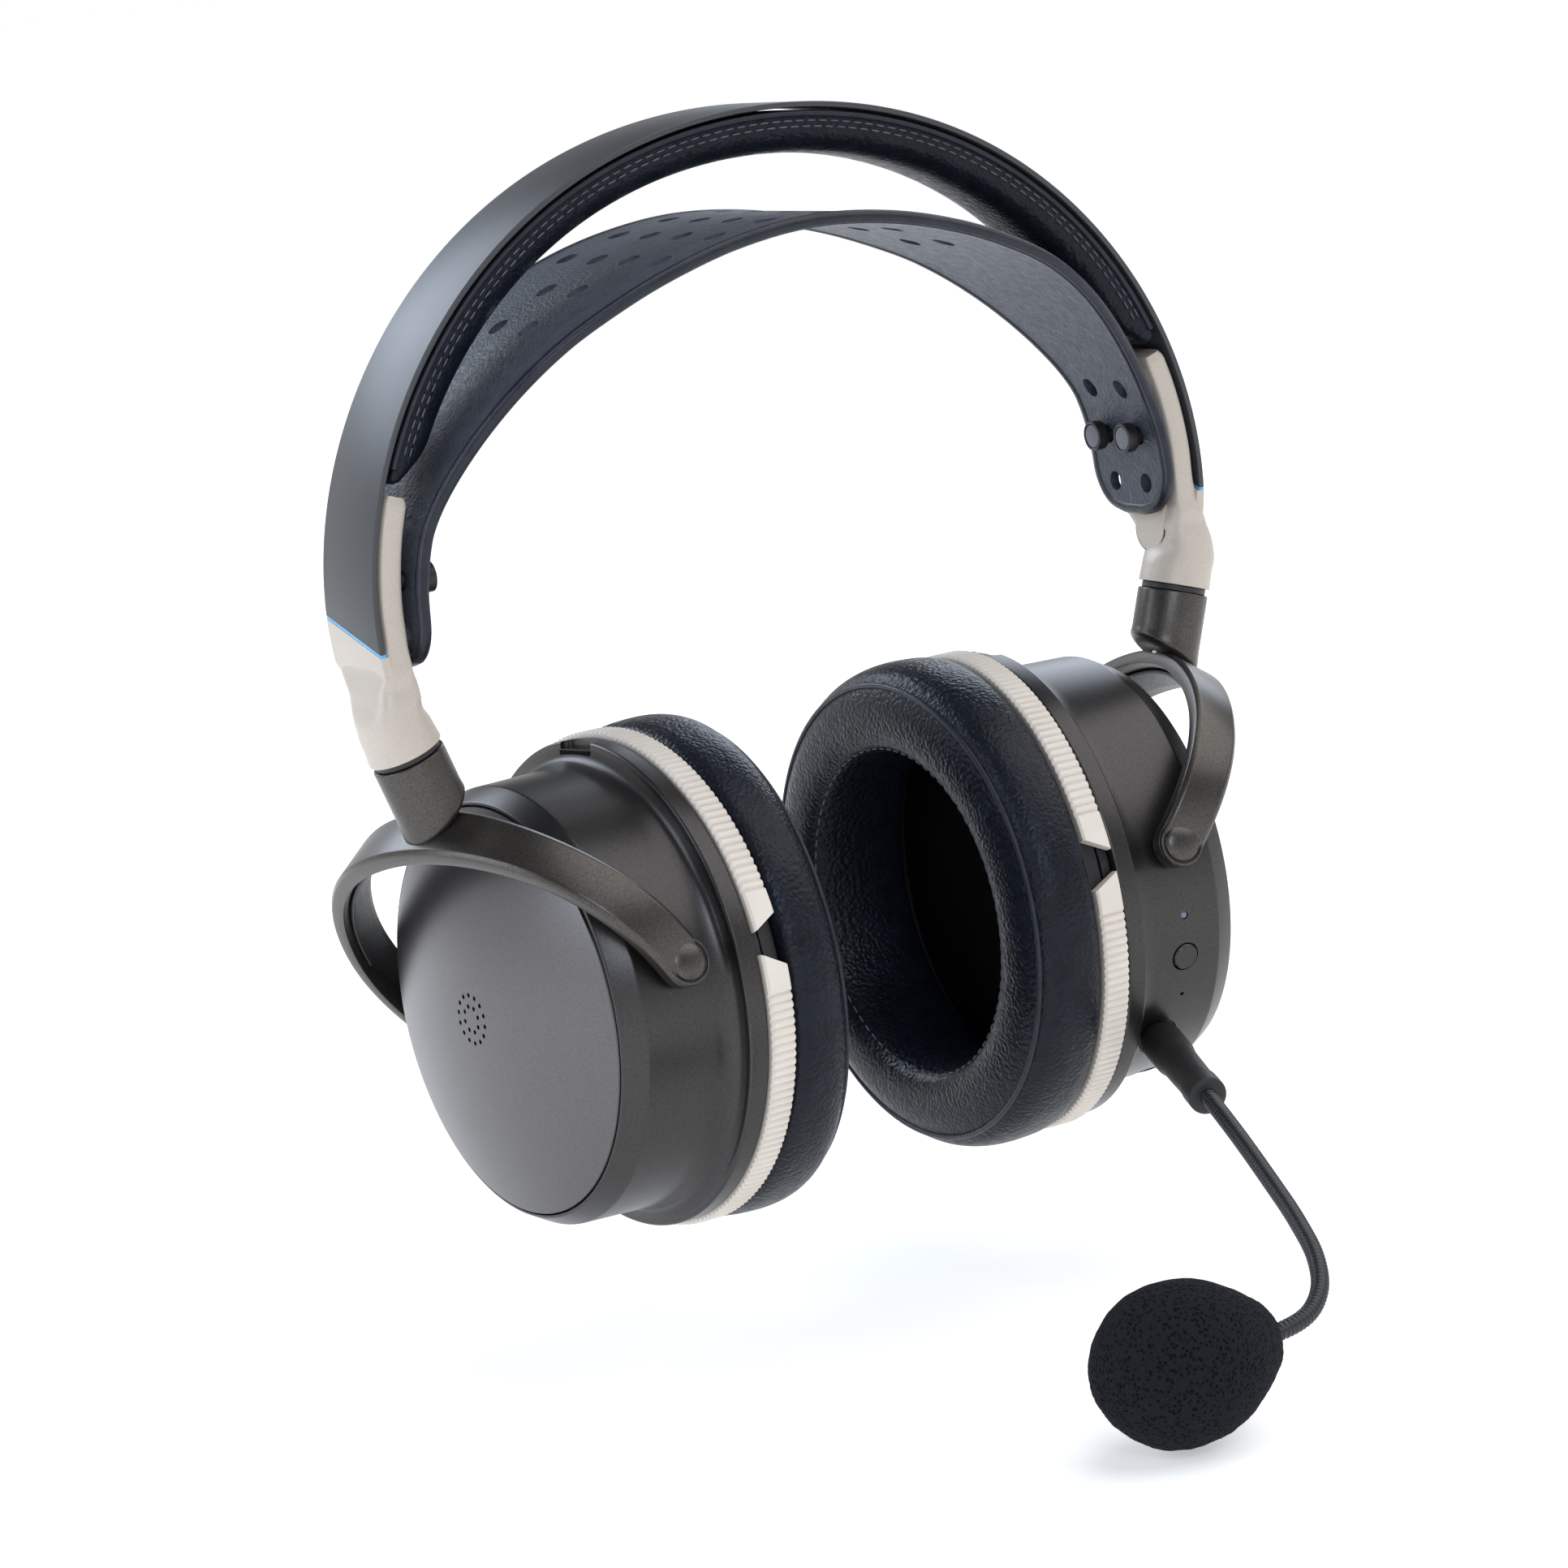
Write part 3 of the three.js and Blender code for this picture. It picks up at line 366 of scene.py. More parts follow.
def rounded_profile(points, radii, steps=4):
    """An open profile with its inner corners rounded; radii has one number for each point."""
    result = [Vector(points[0])]
    for before, here, after, radius in zip(points, points[1:], points[2:], radii[1:]):
        here, before, after = Vector(here), Vector(before), Vector(after)
        back, on = before - here, after - here
        reach = min(radius, back.length * 0.48, on.length * 0.48)
        if reach < 0.01:
            result.append(here)
            continue
        start, end = here + back.normalized() * reach, here + on.normalized() * reach
        for j in range(steps + 1):
            t = j / steps
            result.append(start * (1 - t) ** 2 + here * 2 * t * (1 - t) + end * t * t)
    result.append(Vector(points[-1]))
    return [tuple(p) for p in result]


def spline(points, count):
    """Evenly spaced points on a centripetal Catmull-Rom curve."""
    p = [Vector(q) for q in points]
    p = [p[0] * 2 - p[1], *p, p[-1] * 2 - p[-2]]
    dense = []
    for a, b, c, d in zip(p, p[1:], p[2:], p[3:]):
        t1 = (b - a).length ** 0.5
        t2 = t1 + (c - b).length ** 0.5
        t3 = t2 + (d - c).length ** 0.5
        for step in range(24):
            t = t1 + (t2 - t1) * step / 24
            q1 = a * ((t1 - t) / t1) + b * (t / t1)
            q2 = b * ((t2 - t) / (t2 - t1)) + c * ((t - t1) / (t2 - t1))
            q3 = c * ((t3 - t) / (t3 - t2)) + d * ((t - t2) / (t3 - t2))
            r1 = q1 * ((t2 - t) / t2) + q2 * (t / t2)
            r2 = q2 * ((t3 - t) / (t3 - t1)) + q3 * ((t - t1) / (t3 - t1))
            dense.append(r1 * ((t2 - t) / (t2 - t1)) + r2 * ((t - t1) / (t2 - t1)))
    dense.append(p[-2])
    return resample(dense, count)


def resample(dense, count):
    lengths = [0.0]
    for a, b in zip(dense, dense[1:]):
        lengths.append(lengths[-1] + (b - a).length)
    result = []
    at = 0
    for i in range(count):
        want = lengths[-1] * i / (count - 1)
        while at < len(lengths) - 2 and lengths[at + 1] < want:
            at += 1
        share = (want - lengths[at]) / max(lengths[at + 1] - lengths[at], 1e-9)
        result.append(dense[at].lerp(dense[at + 1], share))
    return result


def tangents(points, closed=False):
    count = len(points)
    result = []
    for i in range(count):
        if closed:
            step = points[(i + 1) % count] - points[i - 1]
        else:
            step = points[min(i + 1, count - 1)] - points[max(i - 1, 0)]
        result.append(step.normalized())
    return result


def tube_rings(points, radii, sides=10, closed=False):
    """Rings round a path, carried along it without twisting."""
    along = tangents(points, closed)
    normal = along[0].orthogonal().normalized()
    rings = []
    for point, direction, radius in zip(points, along, radii):
        normal = (normal - direction * normal.dot(direction)).normalized()
        other = direction.cross(normal)
        rings.append([point + (normal * math.cos(a) + other * math.sin(a)) * radius
                      for a in (2 * math.pi * k / sides for k in range(sides))])
    return rings


def tube(name, points, radius, look, body, sides=10, closed=False, slot=None, matrix=None):
    rings = tube_rings(points, [radius] * len(points), sides, closed)
    return build(name, *skin(rings, closed), look, body, slot, sharp=60, matrix=matrix)


def stitches(name, points, pitch, length, radius, look, body, matrix=None):
    """A row of short raised threads along a path."""
    total = sum((b - a).length for a, b in zip(points, points[1:]))
    count = int(total / pitch)
    fine = resample(points, count * 4 + 1)
    share = length / pitch
    verts, faces = [], []
    for i in range(count):
        a, b = fine[i * 4], fine[i * 4 + 4]
        b = a.lerp(b, share)
        mid = a.lerp(b, 0.5)
        rings = tube_rings([a, a.lerp(mid, 0.35), mid, b.lerp(mid, 0.35), b],
                           [radius * 0.35, radius * 0.9, radius, radius * 0.9, radius * 0.35], 6)
        points_here, faces_here = skin(rings)
        start = len(verts)
        verts += points_here
        faces += [tuple(start + v for v in f) for f in faces_here]
    return build(name, verts, faces, look, body, sharp=70, matrix=matrix)


def subtract(obj, cutter):
    """Cuts one closed mesh from another and removes the cutter."""
    modifier = obj.modifiers.new("cut", "BOOLEAN")
    modifier.operation = "DIFFERENCE"
    modifier.solver = "EXACT"
    modifier.object = cutter
    apply_modifiers(obj)
    bpy.data.objects.remove(cutter)


def apply_modifiers(obj):
    graph = bpy.context.evaluated_depsgraph_get()
    made = bpy.data.meshes.new_from_object(obj.evaluated_get(graph))
    obj.modifiers.clear()
    obj.data = made


def rod_mesh(start, end, radius, sides=24):
    along = (end - start).normalized()
    return tube_rings([start, start + along * 0.01, end], [radius] * 3, sides)


def cutter_of(rods, matrix=None):
    """One mesh from (start, end, radius) rods, for cutting holes."""
    verts, faces = [], []
    for start, end, radius in rods:
        points_here, faces_here = skin(rod_mesh(start, end, radius))
        first = len(verts)
        verts += points_here
        faces += [tuple(first + v for v in f) for f in faces_here]
    return build("cutter", verts, faces, LOOKS["steel"], matrix=matrix)


def subdivide(obj, levels=1):
    modifier = obj.modifiers.new("subdivide", "SUBSURF")
    modifier.levels = levels
    modifier.render_levels = levels
    apply_modifiers(obj)
    smooth(obj, 80)


def puff(obj, pinned, pressure, cap):
    """Inflates a sewn cover between its pinned seams, and keeps each point within cap millimetres."""
    group = obj.vertex_groups.new(name="seams")
    group.add(pinned, 1.0, "REPLACE")
    rest = [v.co.copy() for v in obj.data.vertices]
    cloth = obj.modifiers.new("cloth", "CLOTH")
    settings = cloth.settings
    settings.quality = 6
    settings.mass = 0.15
    settings.tension_stiffness = 12
    settings.compression_stiffness = 12
    settings.shear_stiffness = 6
    settings.bending_stiffness = 0.4
    settings.use_pressure = True
    settings.uniform_pressure_force = pressure
    settings.vertex_group_mass = "seams"
    settings.effector_weights.gravity = 0
    cloth.collision_settings.use_collision = False
    cloth.point_cache.frame_start = 1
    cloth.point_cache.frame_end = 20
    scene = bpy.context.scene
    for step in range(1, 21):
        scene.frame_set(step)
    apply_modifiers(obj)
    scene.frame_set(1)
    for vertex, start in zip(obj.data.vertices, rest):
        move = vertex.co - start
        if move.length > cap * MM:
            vertex.co = start + move.normalized() * cap * MM
    obj.vertex_groups.clear()


# ---------- frames of the moving parts ----------
def neck_axis(side):
    return Vector((side * math.sin(NECK["lean"]), 0, math.cos(NECK["lean"])))


def neck_point(side, up):
    return Vector((side * NECK["x"], NECK["y"], NECK["z"])) + neck_axis(side) * up


def arm_matrix(word):
    side = SIDES[word]
    at = Matrix.Translation(neck_point(side, 0))
    return at @ Matrix.Rotation(-side * TOE_IN[word], 4, neck_axis(side)) @ at.inverted()


def cup_matrix(word):
    side = SIDES[word]
    place = Matrix.Translation((side * CUP["out"], CUP["back"], -CUP["down"]))
    rake = Matrix.Rotation(CUP["rake"], 4, "X")
    return arm_matrix(word) @ place @ rake @ Matrix.Rotation(-side * CUP["splay"], 4, "Y")


def along_axis(origin, aim):
    """A frame whose X axis runs along aim."""
    return Matrix.Translation(origin) @ aim.to_track_quat("X", "Z").to_matrix().to_4x4()


# ---------- headband ----------
def arch_point(angle, inset, y):
    def at(a):
        radius = (ARCH["mean"] + ARCH["cos1"] * math.cos(a) + ARCH["cos2"] * math.cos(2 * a)
                  + ARCH["cos3"] * math.cos(3 * a) + ARCH["cos4"] * math.cos(4 * a))
        return Vector((radius * math.sin(a), 0, radius * math.cos(a)))
    tangent = (at(angle + 0.001) - at(angle - 0.001)).normalized()
    normal = Vector((-tangent.z, 0, tangent.x))
    return at(angle) - normal * inset + Vector((0, y, ARCH["centre_z"]))


def band_angle(share, y):
    half = BAND["width"] / 2
    tip = BAND["front_tip"] + (BAND["rear_tip"] - BAND["front_tip"]) * (y + half) / (2 * half)
    return math.radians(tip * share)


def band_section():
    half = BAND["width"] / 2
    return rounded([(0, -half), (0, half), (BAND["thick"], half), (BAND["thick"], -half)], BAND["edge"])


def make_band():
    steps = 170
    rings = []
    for i in range(steps + 1):
        share = 2 * i / steps - 1
        rings.append([arch_point(band_angle(share, y), inset, y) for inset, y in band_section()])
    band = build("band_shell", *skin(rings), LOOKS["band_paint"], "headband", "band_paint", sharp=50)
    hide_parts("spring_band")
    for word, side in SIDES.items():
        rings = []
        for i in range(5):
            extra = math.radians(0.05 + 0.09 * i) * side
            rings.append([arch_point(band_angle(side, y) + extra, inset + 0.1, y)
                          for inset, y in band_section()])
        build(f"accent_line_{word}", *skin(rings), EXTRA["accent"], "headband", sharp=50)


def pad_section(share):
    """The band pad's outline: flat against the band, crowned below, tucked in at its sewn edges."""
    half = BAND_PAD["width"] / 2
    top = BAND_PAD["inset"]
    deep = BAND_PAD["thick"] * share
    outline = [(top + 0.1, -half + 1.2), (top + 0.1, 0), (top + 0.1, half - 1.2), (top + 0.8, half - 0.3)]
    count = 14
    for i in range(count + 1):
        angle = math.pi * i / count
        across = math.copysign(abs(math.cos(angle)) ** 0.62, math.cos(angle))
        outline.append((top + 1.7 + (deep - 1.9) * abs(math.sin(angle)) ** 0.62, across * (half - 0.15)))
    outline.append((top + 0.8, -half + 0.3))
    return outline


def make_band_pad():
    steps = 120
    end = BAND_PAD["end"]
    rings = []
    for i in range(steps + 1):
        degrees = end * (2 * i / steps - 1)
        from_end = (end - abs(degrees)) / 7
        share = 0.35 + 0.65 * math.sin(math.pi / 2 * min(1, from_end))
        rings.append([arch_point(math.radians(degrees), inset, y) for inset, y in pad_section(share)])
    size = len(rings[0])
    pad = build("band_cushion", *skin(rings), LOOKS["black_leather"], sharp=80)
    pinned = [i * size + j for i in range(len(rings)) for j in (0, 1, 2, 3, 4, size - 2, size - 1)]
    pinned += list(range(size)) + list(range(len(rings) * size - size, len(rings) * size))
    puff(pad, pinned, 2.0, 0.8)
    subdivide(pad)
    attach(pad, "headband")
    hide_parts("band_pad")
    half = BAND_PAD["width"] / 2
    for word, edge in (("front", -1), ("rear", 1)):
        def run(inset, out, reach=end - 2):
            return [arch_point(math.radians(reach * (2 * i / 160 - 1)), inset, edge * (half + out))
                    for i in range(161)]
        tube(f"band_piping_{word}", run(BAND_PAD["inset"] + 0.9, -0.35), 0.75, EXTRA["rim"], "headband", 8)
        for row, inset in (("upper", 2.3), ("lower", 3.5)):
            line = run(BAND_PAD["inset"] + inset, -0.08, end - 4)
            stitches(f"band_stitch_{row}_{word}", line, 2.7, 1.9, 0.2, EXTRA["thread"], "headband")


# ---------- suspension strap ----------
def strap_line(count):
    drop = [(0, 0), (18, 1.8), (34, 6), (46, 10.8), (57, 16.6), (68, 25.4), (78, 37), (84.6, 48), (87.6, 58),
            (STRAP["side_x"], 66), (STRAP["side_x"], STRAP["crown_z"] - STRAP["end_z"])]
    left = [(x, 0, STRAP["crown_z"] - z) for x, z in drop]
    right = [(-x, 0, STRAP["crown_z"] - z) for x, z in reversed(drop[1:])]
    return spline(right + left, count)


def strap_half_width(z):
    rise = min(max((z - 100) / (STRAP["crown_z"] - 104), 0), 1)
    bend = rise * rise * (3 - 2 * rise)
    return STRAP["end_half"] + (STRAP["crown_half"] - STRAP["end_half"]) * (0.45 * rise + 0.55 * bend)


def strap_frames(count):
    """(centre, normal, half-width) along the strap, with rounded ends."""
    line = strap_line(count)
    along = tangents(line)
    pitch = (line[1] - line[0]).length
    corner = 9.0
    result = []
    for i, (centre, direction) in enumerate(zip(line, along)):
        from_end = min(i, count - 1 - i) * pitch
        half = strap_half_width(centre.z)
        if from_end < corner:
            half -= corner - math.sqrt(max(corner ** 2 - (corner - from_end) ** 2, 0))
        result.append((centre, Vector((-direction.z, 0, direction.x)), half))
    return result


def strap_x(z):
    return min((p for p in strap_line(400) if p.x > 0), key=lambda p: abs(p.z - z)).x


def stud_places(side):
    x = strap_x(STRAP_HOLE["middle_z"])
    return [Vector((side * x, end * STRAP_HOLE["spacing"] / 2, STRAP_HOLE["middle_z"])) for end in (-1, 1)]


def make_strap():
    frames = strap_frames(241)
    across = 12
    half_thick = STRAP["thick"] / 2
    rings = []
    for centre, normal, half in frames:
        row = [Vector((0, -half + 2 * half * j / across, 0)) for j in range(across + 1)]
        rings.append([centre + normal * half_thick + r for r in row]
                     + [centre - normal * half_thick + r for r in reversed(row)])
    strap = build("strap_leather", *skin(rings), LOOKS["slate_leather"], sharp=45)
    rods = []
    reach = Vector((6, 0, 0))
    for side in SIDES.values():
        for place in stud_places(side):
            for row in (-1, 0, 1):
                centre = place + Vector((0, 0, row * STRAP_HOLE["row_pitch"]))
                rods.append((centre - reach, centre + reach, STRAP_HOLE["radius"]))
    vent = STRAP_VENT
    for row in range(-vent["rows"], vent["rows"] + 1):
        step = vent["row_pitch"] * row
        centre, normal, _ = min(frames, key=lambda f: abs(f[0].x - vent["middle_x"] - step))
        places = 2 if abs(row) > vent["full_rows"] else 4
        for k in range(places):
            offset = Vector((0, (k - (places - 1) / 2) * vent["spacing"], 0))
            rods.append((centre + offset - normal * 5, centre + offset + normal * 5, vent["radius"]))
    subtract(strap, cutter_of(rods))
    smooth(strap, 40)
    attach(strap, "headband")
    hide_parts("suspension_strap")
    rim = [centre + Vector((0, half - 1.1, 0)) for centre, _, half in frames]
    rim += [centre - Vector((0, half - 1.1, 0)) for centre, _, half in reversed(frames)]
    tube("strap_rim", resample(rim + [rim[0]], 500)[:-1], 1.45, EXTRA["rim"], "headband", 10, closed=True)


def make_studs(word):
    side = SIDES[word]
    for place, where in zip(stud_places(side), ("front", "rear")):
        face = strap_x(place.z) - 1.3 - STUD["clear"] - STUD["high"]
        matrix = Matrix.Translation((0, place.y, place.z))
        r = STUD["radius"]
        profile = rounded_profile([(face + 0.35, 0), (face + 0.35, r - 0.7), (face, r - 0.45), (face, r),
                                   (face + 2.4, r), (face + 3.2, 2.4), (face + 3.4, 1.6), (face + 7.2, 1.6)],
                                  [0, 0.1, 0.1, 0.25, 0.5, 0.3, 0, 0])
        stud = lathe(f"stud_{word}_{where}", profile, LOOKS["black_plastic"], "headband", matrix, side, 48)
        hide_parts(f"strap_stud_{word}_{where}")
        dot = rounded_profile([(face + 0.1, 0), (face + 0.1, r - 0.75), (face + 0.3, r - 0.7)], [0, 0.2, 0])
        lathe(f"stud_face_{word}_{where}", dot, EXTRA["stud_face"], "headband", matrix, side, 40)


# ---------- end caps ----------
def cap_ring(centre, deep_direction, half_thick, half_width, square, count=56):
    ring = []
    for i in range(count):
        angle = 2 * math.pi * i / count
        power = 2 / square
        across = math.copysign(abs(math.cos(angle)) ** power, math.cos(angle))
        deep = math.copysign(abs(math.sin(angle)) ** power, math.sin(angle))
        ring.append(centre + deep_direction * deep * half_thick + Vector((0, across * half_width, 0)))
    return ring


def cap_stations(side):
    """(centre, thickness direction, half thickness, half width, squareness) down the cap."""
    half = CAP["thick"] / 2
    stations = []
    for degrees in (CAP["top"], 85.5, 90, 94.5, 99):
        angle = side * math.radians(degrees)
        centre = arch_point(angle, CAP["inset"] + half, 0)
        out = (arch_point(angle, 0, 0) - centre).normalized()
        stations.append((centre, out, half, CAP["width"] / 2, 7))
    across = Vector((side * math.cos(NECK["lean"]), 0, -math.sin(NECK["lean"])))
    flat = Vector((side, 0, -0.08)).normalized()
    stations.append((Vector((side * 94.4, -0.2, 74.8)), flat, 3.6, 11.6, 6))
    stations.append((Vector((side * 94.6, -3.0, 69.8)), flat, 5.1, 9.0, 4))
    stations.append((neck_point(side, 8), across, 6.4, 8.1, 2.6))
    stations.append((neck_point(side, 4), across, 7.4, NECK["radius"], 2.1))
    stations.append((neck_point(side, 0.3), across, NECK["radius"], NECK["radius"], 2))
    return stations


def make_cap(word):
    side = SIDES[word]
    stations = cap_stations(side)
    count = 61
    centres = spline([s[0] for s in stations], count)
    lengths = [0.0]
    for a, b in zip(stations, stations[1:]):
        lengths.append(lengths[-1] + (b[0] - a[0]).length)
    rings = []
    for i, centre in enumerate(centres):
        want = lengths[-1] * i / (count - 1)
        k = max(j for j in range(len(stations) - 1) if lengths[j] <= want + 1e-6)
        t = (want - lengths[k]) / (lengths[k + 1] - lengths[k])
        ease = t * t * (3 - 2 * t) if k > 3 else t
        _, da, ta, wa, sa = stations[k]
        _, db, tb, wb, sb = stations[k + 1]
        tuck = 0.6 * max(0, 1 - want / 1.2)
        rings.append(cap_ring(centre, da.lerp(db, ease).normalized(), ta + (tb - ta) * ease - tuck,
                              wa + (wb - wa) * ease - tuck, sa + (sb - sa) * ease))
    cap = build(f"cap_{word}", *skin(rings), LOOKS["champagne_metal"], "headband", "champagne_metal",
                sharp=30)
    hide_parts(f"end_cap_{word}")


def make_cap_face(word):
    """The flat outer face that carries on from the band and ends where the cap steps in."""
    side = SIDES[word]
    half = BAND["width"] / 2
    section = rounded([(0, -half), (0, half), (2, half), (2, -half)], 0.3)
    last = side * math.radians(CAP["face_end"])
    rings = []
    for i in range(31):
        share = i / 30
        ring = []
        for inset, y in section:
            first = band_angle(side, y) + side * math.radians(0.42)
            point = arch_point(first + (last - first) * share, inset, y)
            drop = min(max((CAP["step_z"] - point.z) / 5, 0), 1)
            point.y = y * (1 - 0.05 * share)
            if y > 0:
                point.y *= 1 - 0.5 * drop * drop * (3 - 2 * drop)
            ring.append(point)
        rings.append(ring)
    build(f"cap_face_{word}", *skin(rings), LOOKS["champagne_metal"], "headband", "champagne_metal", sharp=40)


def make_side_plate(word):
    """The thin plate let into the cap's inner side, with a round lower end."""
    side = SIDES[word]
    half = SIDE_PLATE["half_width"]
    top, foot = (Vector((side * x, SIDE_PLATE["y"], z)) for x, z in (SIDE_PLATE["top"], SIDE_PLATE["foot"]))
    down = (foot - top).normalized()
    inward = Vector((-side, 0, 0))
    inward = (inward - down * inward.dot(down)).normalized()
    bend = SIDE_PLATE["bend"]
    straight = (foot - top).length - bend
    rings = []
    for lift, grow in ((-0.9, 0), (0.12, 0), (0.3, -0.3)):
        wide = half + grow
        corners = [(0, -wide), (straight + grow, -wide)]
        corners += [(straight + (bend + grow) * math.sin(a), -wide * math.cos(a))
                    for a in (math.pi * k / 20 for k in range(1, 20))]
        corners += [(straight + grow, wide), (0, wide)]
        rings.append([top + down * s + Vector((0, y, 0)) + inward * lift for s, y in corners])
    plate = build(f"cap_plate_{word}", *skin(rings), LOOKS["champagne_metal"], "headband", "champagne_metal",
                  sharp=30)
    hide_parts(f"side_plate_{word}")
    seam = [p + inward * 0.9 for p in rings[0][1:-1]]
    tube(f"cap_plate_seam_{word}", resample(seam, 60), 0.2, LOOKS["black_plastic"], "headband", 8)


def make_washer(word):
    side = SIDES[word]
    r = WASHER_RADIUS
    profile = rounded_profile([(-1.12, 2.9), (-1.12, r), (0.27, r), (0.27, 2.9)], [0, 0.25, 0.25, 0])
    matrix = along_axis(neck_point(side, 0), neck_axis(side))
    washer = lathe(f"washer_{word}", profile, LOOKS["black_plastic"], f"slider_{word}", matrix, 1, 72,
                   True)
    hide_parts(f"swivel_washer_{word}")


# ---------- arms ----------
def bail_at(angle):
    reach = math.hypot(YOKE["reach_x"], YOKE["reach_z"])
    power = 2 / YOKE["square"]
    lift = abs(math.sin(angle)) ** power
    across = -math.copysign(abs(math.cos(angle)) ** power, math.cos(angle))
    return Vector((across * YOKE["span"] * (1 + YOKE["bulge"] * lift * (1 - lift)), lift * reach))


def bail_path(inset, start, end, count, tail=0.0):
    """(point, outward normal, distance past the pivot) in the bail's own plane."""
    dense = [bail_at(math.pi * (start + (end - start) * i / 2000)) for i in range(2001)]
    points = [Vector((p.x, p.y, 0)) for p in dense]
    points = resample(points, count)
    along = tangents(points)
    result = []
    for point, direction in zip(points, along):
        normal = Vector((-direction.y, direction.x))
        result.append((Vector((point.x, point.y)) - normal * inset, normal, 0.0))
    if tail:
        steps = 10
        for end_side, at_start in ((-1, True), (1, False)):
            extra = []
            for i in range(1, steps + 1):
                down = tail * math.sin(math.pi / 2 * i / steps)
                point = Vector((end_side * (YOKE["span"] - inset), -down))
                extra.append((point, Vector((end_side, 0)), down))
            result = list(reversed(extra)) + result if at_start else result + extra
    return result


def bail_frame(side):
    up = Vector((side * YOKE["reach_x"], 0, YOKE["reach_z"])).normalized()
    across = Vector((0, 1, 0))
    return Vector((side * YOKE["pivot_x"], 0, 0)), across, up, across.cross(up)


def sweep_bail(side, path, section):
    """Rings of a section(distance past pivot, height) swept along a path in the bail's plane."""
    origin, across, up, third = bail_frame(side)
    rings = []
    for point, normal, past in path:
        centre = origin + across * point.x + up * point.y
        out = across * normal.x + up * normal.y
        rings.append([centre + out * n + third * w for n, w in section(past, point.y)])
    return rings


def slant_collar(point):
    """Shortens the collar toward the head, so that its end lies on the leaning arm."""
    keep = COLLAR["straight"]
    if point.x > -keep:
        return point
    share = 0.67 - 0.25 * point.z / COLLAR["radius"]
    return Vector((-keep + (point.x + keep) * share, point.y, point.z))


def make_yoke(word):
    side = SIDES[word]
    half_thick = YOKE["thick"] / 2
    reach = math.hypot(YOKE["reach_x"], YOKE["reach_z"])

    def section(past, height):
        half = YOKE["width"] / 2
        wide = half + 1.6 * max(0, (height / reach - 0.55) / 0.45) ** 2
        if past > 0:
            wide = math.sqrt(max(half ** 2 - past ** 2, 0.04))
        bevel = min(1.0, wide * 0.6)
        corners = [(half_thick, -wide + bevel), (half_thick, wide - bevel), (half_thick - 0.8, wide),
                   (-half_thick, wide), (-half_thick, -wide), (half_thick - 0.8, -wide)]
        return rounded(corners, 0.28, 2)

    path = bail_path(half_thick, 0, 1, 181, tail=YOKE["width"] / 2 - 0.05)
    arm = build(f"arm_{word}", *skin(sweep_bail(side, path, section)), LOOKS["gunmetal"], sharp=33,
                matrix=cup_matrix(word))
    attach(arm, f"arm_{word}")
    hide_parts(f"yoke_{word}")
    r = COLLAR["radius"]
    corners = [(-1.15, 2.8), (-1.15, r), (-15, r), (-18.6, r + 0.2), (-20.6, r - 1.4), (-20.6, 2.8)]
    profile = rounded_profile(corners, [0, 0.45, 2, 1.5, 1.2, 0])
    points, faces = turned(profile, 96, 1, True)
    points = [slant_collar(Vector(p)) for p in points]
    build(f"collar_{word}", points, faces, LOOKS["gunmetal"], f"arm_{word}", "gunmetal", 33,
          arm_matrix(word) @ along_axis(neck_point(side, 0), neck_axis(side)))

    def lining(past, height):
        return rounded([(0.4, -3.2), (0.4, 3.2), (-0.4, 3.2), (-0.4, -3.2)], 0.25, 2)

    path = bail_path(YOKE["thick"] + 0.7, 0.16, 0.84, 101)
    liner = build(f"arm_lining_{word}", *skin(sweep_bail(side, path, lining)), LOOKS["black_plastic"],
                  sharp=45, matrix=cup_matrix(word))
    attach(liner, f"arm_{word}")
    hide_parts(f"yoke_liner_{word}")


def make_pivots(word):
    side = SIDES[word]
    for end, where in ((-1, "front"), (1, "rear")):
        place = Vector((side * YOKE["pivot_x"], end * YOKE["span"], 0))
        matrix = cup_matrix(word) @ along_axis(place, Vector((0, end, 0)))
        r = PIVOT["radius"]
        low = -PIVOT["recess"] + 0.3
        dome = [(low, 0), (low, r)] + [(0.15 + 1.25 * math.cos(a), r * math.sin(a))
                                      for a in (math.pi / 2 * (1 - k / 8) for k in range(9))]
        cap = lathe(f"pivot_dome_{word}_{where}", dome, LOOKS["gunmetal"], f"arm_{word}", matrix, 1, 56)
        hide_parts(f"pivot_cap_{word}_{where}")
        gap = [(-0.4, r - 0.1), (0.08, r - 0.1), (0.08, 4.4), (-0.4, 4.4)]
        lathe(f"pivot_gap_{word}_{where}", gap, LOOKS["black_plastic"], f"arm_{word}", matrix, 1, 56,
              True)
        rim = rounded_profile([(-0.4, 4.3), (0.4, 4.3), (0.4, 4.75), (-0.4, 4.95)], [0, 0.2, 0.25, 0])
        lathe(f"pivot_rim_{word}_{where}", rim, LOOKS["gunmetal"], f"arm_{word}", matrix, 1, 56,
              True)


# ---------- cups ----------
def radial(side, angle, x, distance):
    return Vector((side * x, -math.cos(angle) * distance, -math.sin(angle) * distance))


def wall_rod(side, place, radius=None, start=40, end=52):
    return (radial(side, place["angle"], place["x"], start), radial(side, place["angle"], place["x"], end),
            radius or place["radius"])


def stadium_cutter(side, angle, x, start, end, length, width):
    """A slot with round ends through the cup wall."""
    out = radial(1, angle, 0, 1)
    other = Vector((0, -out.z, out.y))
    rings = []
    for distance in (start, start + 0.01, end):
        ring = []
        for i in range(32):
            a = 2 * math.pi * i / 32
            straight = math.copysign((length - width) / 2, math.cos(a))
            ring.append(Vector((side * x + width / 2 * math.sin(a), 0, 0)) + out * distance
                        + other * (straight + width / 2 * math.cos(a)))
        rings.append(ring)
    return rings


